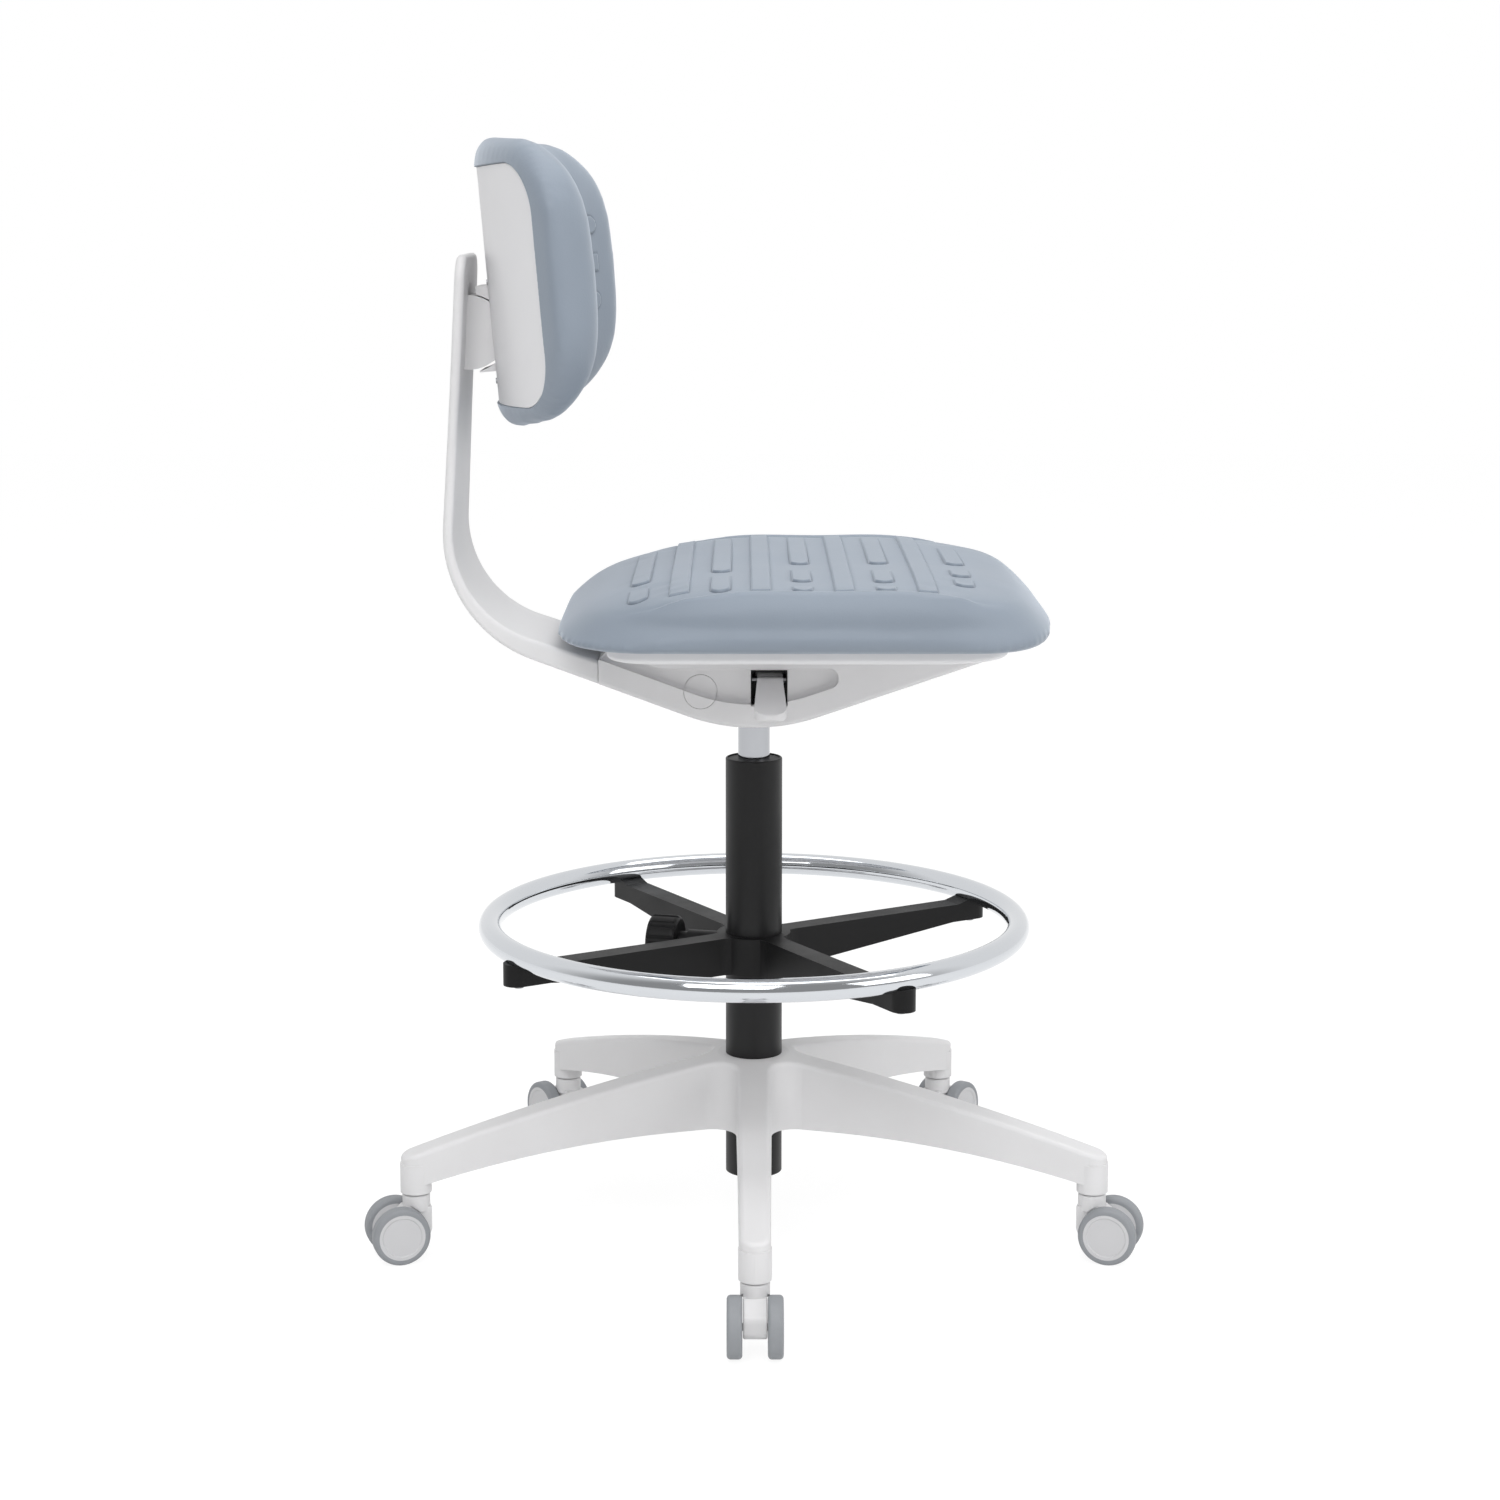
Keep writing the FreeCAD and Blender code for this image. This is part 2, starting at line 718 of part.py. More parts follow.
# Seat carrier
def keel(side, depth):
    """Point on the rear or front keel line at split or nose, moved up into the carrier by depth."""
    slope = -carrier_rear_slope if side == "rear" else carrier_front_slope
    x = carrier_split_x if side == "rear" else carrier_nose_x
    rise = depth / math.cos(math.radians(slope))
    return (x, carrier_vertex[1] + (x - carrier_vertex[0]) * math.tan(math.radians(slope)) + rise)


def keel_vertex(depth):
    return crossing(keel("rear", depth), -carrier_rear_slope, keel("front", depth), carrier_front_slope)


split_bottom = keel("rear", 0.0)
split_top = (carrier_split_x, split_bottom[1] + rim_depth)


def carrier_outline():
    nose = keel("front", 0.0)
    return rounded_wire([
        split_bottom + (0,), carrier_vertex + (carrier_keel_radius,),
        nose + (carrier_nose_radius,), (carrier_nose_x + carrier_nose_lean, carrier_top, 0),
        (flange_rear_end_x, carrier_top, 0), split_top + (0,)], in_xz)


def carrier_form():
    """Outer form of the carrier: a ribbon along the keel, flush with the arm, round a recessed web."""
    body = prism_y(carrier_outline(), carrier_half_width)
    under = []
    for edge in body.Edges:
        at = edge.CenterOfMass
        on_side = abs(abs(at.y) - carrier_half_width) < 0.01
        if on_side and at.z < flange_bottom and at.x > carrier_split_x + 1.0:
            under.append(edge)
    body = body.makeFillet(carrier_edge_radius, under)
    rear = keel("rear", rim_depth)
    point = crossing(keel("front", rim_depth), carrier_front_slope, (0.0, flange_bottom), 0.0)
    over = carrier_top + 1.0
    recess = rounded_wire([
        rear + (0,), keel_vertex(rim_depth) + (carrier_keel_radius - rim_depth,),
        point + (recess_point_radius,), (flange_rear_x, flange_bottom, flange_rear_radius),
        (flange_rear_end_x, over, 0), (carrier_split_x, over, 0)], in_xz)
    depth = carrier_half_width - carrier_web_half_width + 1.0
    room = prism(recess, V(0, depth, 0), V(0, carrier_web_half_width, 0))
    coves = []
    for edge in room.Edges:
        at = edge.CenterOfMass
        on_web = edge.BoundBox.YMax < carrier_web_half_width + 0.01
        if on_web and at.x > flange_rear_end_x and at.z < carrier_top:
            coves.append(edge)
    room = room.makeFillet(recess_cove_radius, coves)
    return body.cut(room).cut(mirrored(room))


def seat_carrier():
    body = carrier_form()
    over = carrier_top + 1.0
    floor_rear = keel("rear", carrier_floor)
    cavity = rounded_wire([
        floor_rear + (0,), keel_vertex(carrier_floor) + (carrier_keel_radius - carrier_floor,),
        (cavity_front_x, cavity_front_z, cavity_corner_radius), (cavity_front_x, over, 0),
        (carrier_split_x, over, 0)], in_xz)
    body = body.cut(prism_y(cavity, cavity_half_width))
    clearance_radius = tongue_eye_radius + side_play * 2.0
    body = body.cut(block(carrier_split_x, pivot_x, -cavity_half_width, cavity_half_width, 0.0, over))
    body = body.cut(cylinder_y(clearance_radius, pivot_x, pivot_z, -cavity_half_width, cavity_half_width))
    boss = cylinder(lift_boss_radius, carrier_vertex[1], lift_top - side_play)
    boss = boss.cut(cylinder_y(clearance_radius, pivot_x, pivot_z, -cavity_half_width, cavity_half_width))
    body = body.fuse(boss.common(prism_y(carrier_outline(), cavity_half_width)))
    body = body.cut(cylinder(lift_radius + press_gap, 0.0, lift_top + 1.0))
    body = body.cut(cylinder_y(recline_pin_radius + press_gap, pivot_x, pivot_z,
                               -carrier_half_width, carrier_half_width))
    for side in (-1, 1):
        face = carrier_web_half_width
        start = face - pivot_cap_depth if side > 0 else -carrier_half_width
        end = carrier_half_width if side > 0 else -face + pivot_cap_depth
        body = body.cut(cylinder_y(pivot_cap_radius + pivot_cap_groove, pivot_x, pivot_z, start, end))
    body = body.cut(block(*lever_slot, -carrier_half_width, -cavity_half_width, *lever_slot_z))
    body = body.cut(lever_pin(press_gap))
    for screw in seat_screws(press_gap):
        body = body.cut(screw)
    return body.removeSplitter()


def lever_pin(clearance):
    start = lever_slot[0] - lever_pin_bite
    length = lever_slot[1] + lever_pin_bite - start
    foot = V(start, lever_pivot_y, lever_pivot_z)
    return Part.makeCylinder(lever_pin_radius + clearance, length, foot, V(1, 0, 0))


pan_top = carrier_top + pan_thickness


def seat_screws(clearance):
    found = []
    for x in seat_screw_x:
        for y in (-seat_screw_y, seat_screw_y):
            thin = seat_screw_radius + clearance
            wide = seat_screw_head_radius + clearance
            shank = cylinder(thin, carrier_top - seat_screw_bite - clearance, pan_top, x, y)
            flare = wide - thin
            head = Part.makeCone(thin, wide, flare, V(x, y, pan_top - flare))
            found.append(shank.fuse(head))
    return found


parts["seat_carrier"] = seat_carrier()
cap_seat = carrier_web_half_width - pivot_cap_depth
parts["recline_pin"] = cylinder_y(recline_pin_radius, pivot_x, pivot_z, -cap_seat, cap_seat)
cap = cylinder_y(pivot_cap_radius, pivot_x, pivot_z, cap_seat + press_gap, carrier_half_width)
cap = cap.common(carrier_form())
parts["pivot_caps"] = Part.makeCompound([cap, mirrored(cap)])
bush = cylinder_y(bush_outer_radius, pivot_x, pivot_z,
                  tongue_half_width + side_play, cavity_half_width - press_gap)
bush = bush.cut(cylinder_y(recline_pin_radius + press_gap, pivot_x, pivot_z, 0.0, carrier_half_width))
parts["torsion_bushes"] = Part.makeCompound([bush, mirrored(bush)])
parts["lever_pin"] = lever_pin(0.0)


# Height lever
def height_lever():
    half = lever_thickness / 2.0
    drop = math.tan(math.radians(lever_droop))
    tip_z = lever_pivot_z - (lever_bend_y - lever_tip_y) * drop
    inner_under = pin_top + side_play
    inner_top = lever_pivot_z + half
    inner_bend = lever_bend_radius - lever_thickness
    side = rounded_wire([
        (lever_inner_end, inner_under, 0), (lever_inner_end, inner_top, lever_edge_radius),
        (lever_bend_y, inner_top, lever_bend_radius), (lever_tip_y, tip_z + half, lever_edge_radius),
        (lever_tip_y, tip_z - half, lever_edge_radius), (lever_bend_y, lever_pivot_z - half, inner_bend),
        (lever_pivot_y, lever_pivot_z - half, 0), (lever_heel_y, inner_under, 0)], in_yz)
    wide = lever_tip_width
    body = prism(side, V(wide * 2.0, 0, 0), V(lever_x - wide, 0, 0))
    root = lever_root_width / 2.0
    tip = lever_tip_width / 2.0
    tip_start = lever_tip_y + tip
    plan = rounded_wire([
        (lever_x - root, (lever_heel_y + lever_foot_y) / 2.0, 0), (lever_foot_x, lever_foot_y, 0),
        (lever_foot_x, lever_inner_end, 0), (lever_x + root, lever_inner_end, 0),
        (lever_x + root, lever_bend_y, lever_flank_radius), (lever_x + tip, tip_start, 0),
        (lever_x + tip, lever_tip_y, lever_corner_radius), (lever_x - tip, lever_tip_y, lever_corner_radius),
        (lever_x - tip, tip_start, 0), (lever_x - root, lever_bend_y, lever_flank_radius)], in_xy)
    body = body.common(prism(plan, V(0, 0, carrier_top), V(0, 0, 0)))
    eye_start = V(lever_x - root, lever_pivot_y, lever_pivot_z)
    body = body.fuse(Part.makeCylinder(lever_hub_radius, lever_root_width, eye_start, V(1, 0, 0)))
    return body.cut(lever_pin(running_fit)).removeSplitter()


parts["height_lever"] = height_lever()


# Back arm
def upright_x(distance, z):
    """X of the upright band at height z, at a distance ahead of its rear face."""
    lean = math.radians(arm_lean)
    return arm_outer_top_x + distance / math.cos(lean) - (arm_top - z) * math.tan(lean)


def back_arm():
    upright = 90.0 - arm_lean
    outer_corner = crossing(split_bottom, -carrier_rear_slope, (upright_x(0.0, arm_top), arm_top), upright)
    inner_corner = crossing(split_top, -arm_root_slope, (upright_x(arm_thickness, arm_top), arm_top), upright)
    over = arm_top + arm_thickness
    gap_x = carrier_split_x - side_play
    foot = (gap_x, split_bottom[1] + side_play * math.tan(math.radians(carrier_rear_slope)))
    head = (gap_x, split_top[1] + side_play * math.tan(math.radians(arm_root_slope)))
    side = rounded_wire([
        foot + (0,), outer_corner + (arm_outer_radius,), (upright_x(0.0, over), over, 0),
        (upright_x(arm_thickness, over), over, 0), inner_corner + (arm_inner_radius,), head + (0,)], in_xz)
    band = prism_y(side, arm_root_half_span)
    half_view = [
        (arm_root_half_span, 0.0, 0), (arm_root_half_span, arm_taper_start, arm_taper_radius),
        (arm_neck_half_span, arm_taper_end, arm_taper_radius), (arm_neck_half_span, arm_top, arm_top_corner)]
    front_view = rounded_wire(half_view + [(-y, z, radius) for y, z, radius in reversed(half_view)], in_yz)
    band = band.common(prism(front_view, V(over, 0, 0), V(-over, 0, 0)))
    outline = []
    for edge in band.Edges:
        box = edge.BoundBox
        at_top = box.ZMin > arm_top - arm_thickness and box.YLength > arm_neck_half_span
        along_side = box.YLength < arm_neck_half_span and edge.Length > arm_thickness * 1.1
        if (at_top or along_side) and box.XMin < gap_x - 0.01:
            outline.append(edge)
    band = band.makeFillet(arm_edge_radius, outline)
    tongue = closed_wire(foot, [
        head, (pivot_x, pivot_z + tongue_eye_radius),
        ((pivot_x + tongue_eye_radius, pivot_z), (pivot_x, pivot_z - tongue_eye_radius))], in_xz)
    band = band.fuse(prism_y(tongue, tongue_half_width))
    band = band.cut(cylinder_y(recline_pin_radius + running_fit, pivot_x, pivot_z,
                               -tongue_half_width, tongue_half_width))
    for screw in bracket_screws(press_gap):
        band = band.cut(screw)
    return band.removeSplitter()


def bracket_screws(clearance):
    """Screws from behind through the upright into the bracket, square to the upright's face."""
    found = []
    lean = math.radians(arm_lean)
    ahead = V(math.cos(lean), 0, -math.sin(lean))
    for z in (hinge_z - bracket_screw_z, hinge_z + bracket_screw_z):
        for y in (-bracket_screw_y, bracket_screw_y):
            start = V(upright_x(0.0, z), y, z)
            length = arm_thickness + bracket_screw_bite
            shank = Part.makeCylinder(screw_radius + clearance, length, start, ahead)
            head = Part.makeCylinder(screw_head_radius + clearance, screw_head_height, start, ahead)
            found.append(shank.fuse(head))
    return found


parts["back_arm"] = back_arm()
parts["bracket_screws"] = Part.makeCompound(bracket_screws(0.0))


# Backrest hinge
pin_reach = lug_inner_y + lug_thickness + hinge_pin_bite


def hinge_bracket():
    rear = arm_thickness + press_gap
    low = hinge_z - drum_radius
    high = hinge_z + drum_radius
    drum = cylinder_y(drum_radius, hinge_x - drum_setback, hinge_z, -bracket_half_width, bracket_half_width)
    keep = closed_wire((upright_x(rear, low), low), [
        (upright_x(rear, high), high), (hinge_x + drum_front, high), (hinge_x + drum_front, low)], in_xz)
    body = drum.common(prism_y(keep, bracket_half_width))
    for side in (-1, 1):
        inner = lug_inner_y - side_play
        outer = lug_inner_y + lug_thickness + side_play
        y0 = inner if side > 0 else -outer
        y1 = outer if side > 0 else -inner
        rear_x = hinge_x - lug_eye_radius - side_play
        body = body.cut(block(rear_x, hinge_x + drum_radius, y0, y1, low, high))
    pin_room = pin_reach + side_play
    body = body.cut(cylinder_y(hinge_pin_radius + press_gap, hinge_x, hinge_z, -pin_room, pin_room))
    for screw in bracket_screws(press_gap):
        body = body.cut(screw)
    return body.removeSplitter()


parts["hinge_bracket"] = hinge_bracket()
parts["hinge_pin"] = cylinder_y(hinge_pin_radius, hinge_x, hinge_z, -pin_reach, pin_reach)


def leaned(shape):
    """Set a backrest piece, made upright about the hinge axis, at its lean and place."""
    copy = moved(shape, hinge_x, 0, hinge_z)
    copy.rotate(V(hinge_x, 0, hinge_z), V(0, 1, 0), -backrest_lean)
    return copy


shell_front = shell_rear + shell_thickness
flange_sag = flange_half_width ** 2 / (2.0 * (shell_curve_radius - shell_thickness))
flange_rear = shell_front + flange_sag + foam_gap


def shell_screws(clearance):
    found = []
    for z in (-shell_screw_z, shell_screw_z):
        for y in (-shell_screw_y, shell_screw_y):
            bite = shell_rear + shell_screw_cover
            top = flange_rear + flange_thickness
            start = V(top, y, z)
            shank = Part.makeCylinder(screw_radius + clearance, top - bite, start, V(-1, 0, 0))
            head = Part.makeCylinder(screw_head_radius + clearance, screw_head_height, start, V(-1, 0, 0))
            found.append(shank.fuse(head))
    return found


def hinge_socket():
    side = closed_wire((wedge_rear_top, wedge_top), [
        (flange_rear, wedge_top), (flange_rear, wedge_bottom), (wedge_rear_bottom, wedge_bottom),
        (wedge_rear_bottom, 0.0), (wedge_rear_top, 0.0)], in_xz)
    body = prism_y(side, bracket_half_width)
    outer = drum_radius + socket_gap
    room = cylinder_y(outer, -drum_setback, 0.0, -bracket_half_width, bracket_half_width)
    room = room.common(block(-outer, socket_face, -bracket_half_width, bracket_half_width, -outer, outer))
    body = body.cut(room)
    body = body.fuse(block(flange_rear, flange_rear + flange_thickness, -flange_half_width, flange_half_width,
                           -flange_half_height, flange_half_height))
    for y0 in (lug_inner_y, -lug_inner_y - lug_thickness):
        lug = cylinder_y(lug_eye_radius, 0.0, 0.0, y0, y0 + lug_thickness)
        lug = lug.fuse(block(0.0, socket_face + 1.0, y0, y0 + lug_thickness, -lug_eye_radius, lug_eye_radius))
        body = body.fuse(lug)
    body = body.cut(cylinder_y(hinge_pin_radius + running_fit, 0.0, 0.0,
                               -bracket_half_width, bracket_half_width))
    for screw in shell_screws(press_gap):
        body = body.cut(screw)
    return body.removeSplitter()


def shell_plate(outer, inner, grow):
    """Part of a cylinder wall between two radii, cut to the rounded outline of the shell."""
    centre = V(shell_rear + shell_curve_radius, 0, shell_bottom * 2.0)
    height = shell_top - shell_bottom * 3.0
    wall = Part.makeCylinder(outer, height, centre).cut(Part.makeCylinder(inner, height, centre))
    corner = shell_corner_radius + grow
    wide = shell_half_width + grow
    outline = rounded_wire([
        (-wide, shell_bottom - grow, corner), (wide, shell_bottom - grow, corner),
        (wide, shell_top + grow, corner), (-wide, shell_top + grow, corner)], in_yz)
    return wall.common(prism(outline, V(shell_curve_radius, 0, 0), V(-shell_corner_radius, 0, 0)))


def backrest_shell():
    body = shell_plate(shell_curve_radius, shell_curve_radius - shell_thickness, 0.0)
    gap = foam_gap
    window = block(0.0, flange_rear, -bracket_half_width - gap, bracket_half_width + gap,
                   wedge_bottom - gap, wedge_top + gap)
    body = body.cut(window)
    for screw in shell_screws(press_gap):
        body = body.cut(screw)
    return body


def back_section(y, rise):
    """Cushion section in the radial plane that meets the shell at a distance y from the middle."""
    side = abs(y) / back_cushion_half_width
    turn = math.asin(y / (shell_curve_radius + back_cushion_rear))
    margin = back_cushion_half_width - abs(y)
    bend = max(0.0, back_corner_radius - margin)
    inset = back_corner_radius - math.sqrt(back_corner_radius ** 2 - bend ** 2)
    thin = max(0.0, 1.0 - margin / back_rim_radius)
    roll = back_rim_share + (1.0 - back_rim_share) * math.sqrt(1.0 - thin ** 2)
    depth = back_cushion_depth * roll + rise
    rear = -back_cushion_rear
    low = back_cushion_bottom + inset + back_wing_rise * side ** 2
    high = back_cushion_top - inset - back_wing_fall * side ** 2

    def at(inward, z):
        radius = shell_curve_radius - inward
        return V(shell_rear + shell_curve_radius - radius * math.cos(turn), radius * math.sin(turn), z)

    foot = low + back_heel_rise * roll
    shoulder = back_shoulder_fall * roll
    return closed_wire((rear, foot), [
        (rear, high - back_heel_rise * roll),
        ((depth * 0.36, high), (depth * 0.78, high - shoulder)),
        ((depth, (low + high) / 2.0), (depth * 0.80, low + shoulder)),
        ((depth * 0.38, low), (rear, foot))], at)


def back_foam(rise):
    halves = [back_cushion_half_width * share for share in back_stations]
    stations = [-y for y in halves] + [0.0] + halves[::-1]
    return Part.makeLoft([back_section(y, rise) for y in stations], True, False)


def backrest_cushion():
    bars = []
    for number in range(back_rib_count):
        z = back_rib_first_z + rib_pitch * number
        bars.append(block(shell_front, shell_curve_radius, -back_rib_half_width, back_rib_half_width,
                          z - rib_width / 2.0, z + rib_width / 2.0))
    body = back_foam(0.0).fuse(back_foam(rib_rise).common(Part.makeCompound(bars)))
    inner = shell_curve_radius - shell_thickness - foam_gap
    body = body.cut(shell_plate(shell_curve_radius + back_cushion_depth, inner, foam_gap))
    wide = flange_half_width + foam_gap
    tall = flange_half_height + foam_gap
    return body.cut(block(shell_rear, flange_rear + flange_thickness + foam_gap, -wide, wide, -tall, tall))


parts["hinge_socket"] = leaned(hinge_socket())
parts["backrest_shell"] = leaned(backrest_shell())
parts["shell_screws"] = leaned(Part.makeCompound(shell_screws(0.0)))
parts["backrest_cushion"] = leaned(backrest_cushion())


# Seat
def seat_pan():
    rear = seat_rear_x + pan_rear_inset
    front = seat_front_x - pan_front_inset
    wide = seat_half_width - pan_side_inset
    outline = rounded_wire([
        (rear, -wide, pan_rear_corner), (front, -wide, pan_front_corner),
        (front, wide, pan_front_corner), (rear, wide, pan_rear_corner)], in_xy)
    body = prism(outline, V(0, 0, pan_thickness), V(0, 0, carrier_top))
    under = [edge for edge in body.Edges if edge.BoundBox.ZMax < carrier_top + 0.1]
    body = body.makeFillet(pan_edge_radius, under)
    for screw in seat_screws(press_gap):
        body = body.cut(screw)
    return body


def seat_section(share, rise):
    """Side outline of the seat foam at a share of its half width, its top raised by rise."""
    plan = (1.0 - abs(share) ** seat_square) ** (1.0 / seat_square)
    ahead = seat_front_x - seat_crest_x
    behind = seat_crest_x - seat_rear_x
    front = seat_crest_x + ahead * plan
    rear = seat_crest_x - behind * plan
    past = max(0.0, abs(share) - seat_roll_start) / (1.0 - seat_roll_start)
    roll = math.sqrt(1.0 - past ** 2)
    floor = pan_top + foam_gap
    low = seat_edge_height - (seat_edge_height - floor) * roll
    high = seat_edge_height + (seat_crown - seat_side_fall * share ** 4 - seat_edge_height) * roll + rise
    tall = high - low
    foot = seat_tuck * plan

    def left(reach):
        """Share of the height left at a share of the way out from the crest."""
        return 1.0 - seat_corner_drop * (reach * min(abs(share), seat_roll_start)) ** seat_corner_power

    nose = [(front - d * plan, low + tall * part * left(1.0 - d / ahead)) for d, part in seat_front_fall]
    heel = [(rear + d * plan, low + tall * part * left(1.0 - d / behind)) for d, part in seat_rear_fall]
    y = share * seat_half_width

    def at(x, z):
        return V(x, y, z)

    return closed_wire((rear + foot, low), [
        (front - foot, low), (nose[0], nose[1]), (nose[2], nose[3]), ((seat_crest_x, high), heel[0]),
        (heel[1], heel[2]), (heel[3], heel[4]), (heel[5], (rear + foot, low))], at)


def seat_foam(rise):
    shares = seat_stations + [0.0] + [-share for share in reversed(seat_stations)]
    return Part.makeLoft([seat_section(share, rise) for share in shares], True, False)


def seat_pad(x, inner, outer, low, high):
    """Upright bar on both sides of the middle, square at its inner end and round at its outer end."""
    half = rib_width / 2.0
    bar = block(x - half, x + half, inner, outer - half, low, high)
    bar = bar.fuse(cylinder(half, low, high, x, outer - half))
    return bar.fuse(bar.mirror(V(0, 0, 0), V(0, 1, 0))).removeSplitter()


def seat_cushion():
    low = seat_edge_height
    high = seat_crown * 2.0
    half = rib_width / 2.0
    bars = []
    for number in range(seat_rib_count):
        x = rib_first_x + rib_pitch * number
        bars.append(block(x - half, x + half, -rib_half_length, rib_half_length, low, high))
    for number, row in enumerate(seat_pads):
        x = rib_first_x + rib_pitch * (number - 0.5)
        for inner, outer in row:
            bars.append(seat_pad(x, inner, outer, low, high))
    return seat_foam(0.0).fuse(seat_foam(rib_rise).common(Part.makeCompound(bars)))


parts["seat_pan"] = seat_pan()
parts["seat_screws"] = Part.makeCompound(seat_screws(0.0))
parts["seat_cushion"] = seat_cushion()

os.makedirs("parts", exist_ok=True)
for name, shape in parts.items():
    shape.exportStep(f"parts/{name}.step")
    print(name, len(shape.Solids), shape.isValid(), round(shape.Volume))
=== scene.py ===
import json
import math

import bmesh
import bpy
import numpy as np
from mathutils import Matrix


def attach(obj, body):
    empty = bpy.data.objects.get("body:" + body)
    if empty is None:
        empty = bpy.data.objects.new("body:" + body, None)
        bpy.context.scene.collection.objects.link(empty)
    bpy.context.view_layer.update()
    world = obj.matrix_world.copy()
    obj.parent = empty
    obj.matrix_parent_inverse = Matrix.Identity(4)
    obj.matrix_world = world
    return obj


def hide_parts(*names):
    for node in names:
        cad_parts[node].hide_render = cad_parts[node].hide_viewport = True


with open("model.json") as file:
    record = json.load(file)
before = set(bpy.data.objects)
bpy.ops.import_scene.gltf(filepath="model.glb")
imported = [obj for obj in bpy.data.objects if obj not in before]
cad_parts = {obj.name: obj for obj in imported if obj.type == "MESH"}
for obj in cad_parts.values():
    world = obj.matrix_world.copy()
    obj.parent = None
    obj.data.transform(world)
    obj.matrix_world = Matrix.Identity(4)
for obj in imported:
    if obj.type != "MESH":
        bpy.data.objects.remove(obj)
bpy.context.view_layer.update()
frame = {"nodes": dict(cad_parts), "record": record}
nodes = frame["nodes"]
print("frame loaded with", len(nodes), "CAD nodes")


# sRGB hex to the linear colour that shaders take
def linearFromHex(code):
    srgb = np.array([int(code[i:i + 2], 16) for i in (1, 3, 5)]) / 255
    linear = np.where(srgb <= 0.04045, srgb / 12.92, ((srgb + 0.055) / 1.055) ** 2.4)
    return (*linear.tolist(), 1.0)


# pattern scale for Object coordinates, which are metres, from a feature size in mm
def scaleForMm(size):
    return 1000.0 / size


# adds one node: settings are attributes, inputs are values or sockets to link from
def addNode(tree, kind, settings=None, inputs=None):
    node = tree.nodes.new(kind)
    for key, value in (settings or {}).items():
        setattr(node, key, value)
    for key, value in (inputs or {}).items():
        if isinstance(value, bpy.types.NodeSocket):
            tree.links.new(value, node.inputs[key])
        else:
            node.inputs[key].default_value = value
    return node


# empty material with its shader wired to the output
def startFinish(name, sockets):
    finish = bpy.data.materials.new(name)
    finish.use_nodes = True
    tree = finish.node_tree
    tree.nodes.clear()
    shader = addNode(tree, "ShaderNodeBsdfPrincipled", inputs=sockets)
    addNode(tree, "ShaderNodeOutputMaterial", inputs={"Surface": shader.outputs["BSDF"]})
    place = addNode(tree, "ShaderNodeTexCoord").outputs["Object"]
    return finish, tree, shader, place


# span that most values of a noise texture lie in
noiseSpan = (0.3, 0.7)


# roughness runs between two values with a noise
def driftRoughness(tree, shader, noise, roughness):
    rough = addNode(tree, "ShaderNodeMapRange", inputs={
        "Value": noise.outputs["Fac"], "From Min": noiseSpan[0], "From Max": noiseSpan[1],
        "To Min": roughness[0], "To Max": roughness[1]})
    tree.links.new(rough.outputs["Result"], shader.inputs["Roughness"])


# colour drifts softly between two tones, roughness with it, over patches of a size in mm
def driftTone(tree, shader, place, tones, roughness, patchMm):
    drift = addNode(tree, "ShaderNodeTexNoise", inputs={
        "Vector": place, "Scale": scaleForMm(patchMm), "Detail": 3.0, "Roughness": 0.55})
    mix = addNode(tree, "ShaderNodeMix", {"data_type": "RGBA"}, {
        0: drift.outputs["Fac"], 6: linearFromHex(tones[0]), 7: linearFromHex(tones[1])})
    tree.links.new(mix.outputs[2], shader.inputs["Base Color"])
    driftRoughness(tree, shader, drift, roughness)
    return mix.outputs[2]


# spark-eroded mould grain: light grey glass-filled nylon, so highlights are broad and slightly broken
nylon = {"tones": ("#D9D8D9", "#E0E0E1"), "roughness": (0.42, 0.54), "patchMm": 60.0,
         "grainMm": 0.9, "grainDepthMm": 0.035}     # real grain is about 0.3 mm, drawn coarser to show


def mouldedNylon(name, look):
    finish, tree, shader, place = startFinish(name, {
        "IOR": 1.53, "Specular IOR Level": look.get("shine", 0.5)})
    driftTone(tree, shader, place, look["tones"], look["roughness"], look["patchMm"])
    grain = addNode(tree, "ShaderNodeTexVoronoi", {"feature": "SMOOTH_F1"}, {
        "Vector": place, "Scale": scaleForMm(look["grainMm"]), "Smoothness": 0.6})
    bump = addNode(tree, "ShaderNodeBump", inputs={
        "Height": grain.outputs["Distance"], "Strength": 0.5, "Distance": look["grainDepthMm"] / 1000})
    tree.links.new(bump.outputs["Normal"], shader.inputs["Normal"])
    return finish


greyNylon = mouldedNylon("glass-filled nylon, grain moulded", nylon)

# black nylon of the spider and knob: same moulding, near black, with weak highlights
blackLook = {"tones": ("#0C0C0D", "#121213"), "roughness": (0.42, 0.52), "shine": 0.22, "patchMm": 45.0,
             "grainMm": 0.8, "grainDepthMm": 0.04}
blackNylon = mouldedNylon("black nylon, grain moulded", blackLook)

# polypropylene of the back shell and seat pan: smoother than the nylon, so highlights are tighter
shellLook = {"tones": ("#DCDCDE", "#E2E2E4"), "roughness": (0.34, 0.42), "patchMm": 90.0,
             "grainMm": 0.7, "grainDepthMm": 0.012}
whitePolypropylene = mouldedNylon("polypropylene, smooth moulded", shellLook)

# the wheel discs are the same plastic in a greyer tone
discLook = {**shellLook, "tones": ("#C6C6C8", "#CDCDCF")}
greyPolypropylene = mouldedNylon("polypropylene disc, smooth moulded", discLook)

# cast polyurethane tread: soft, matt, with faint scuffs round the rolling face
treadLook = {"tones": ("#8A8D91", "#94979B"), "roughness": (0.55, 0.68), "patchMm": 9.0,
             "grainMm": 1.2, "grainDepthMm": 0.03}
greyTread = mouldedNylon("polyurethane tread, cast", treadLook)

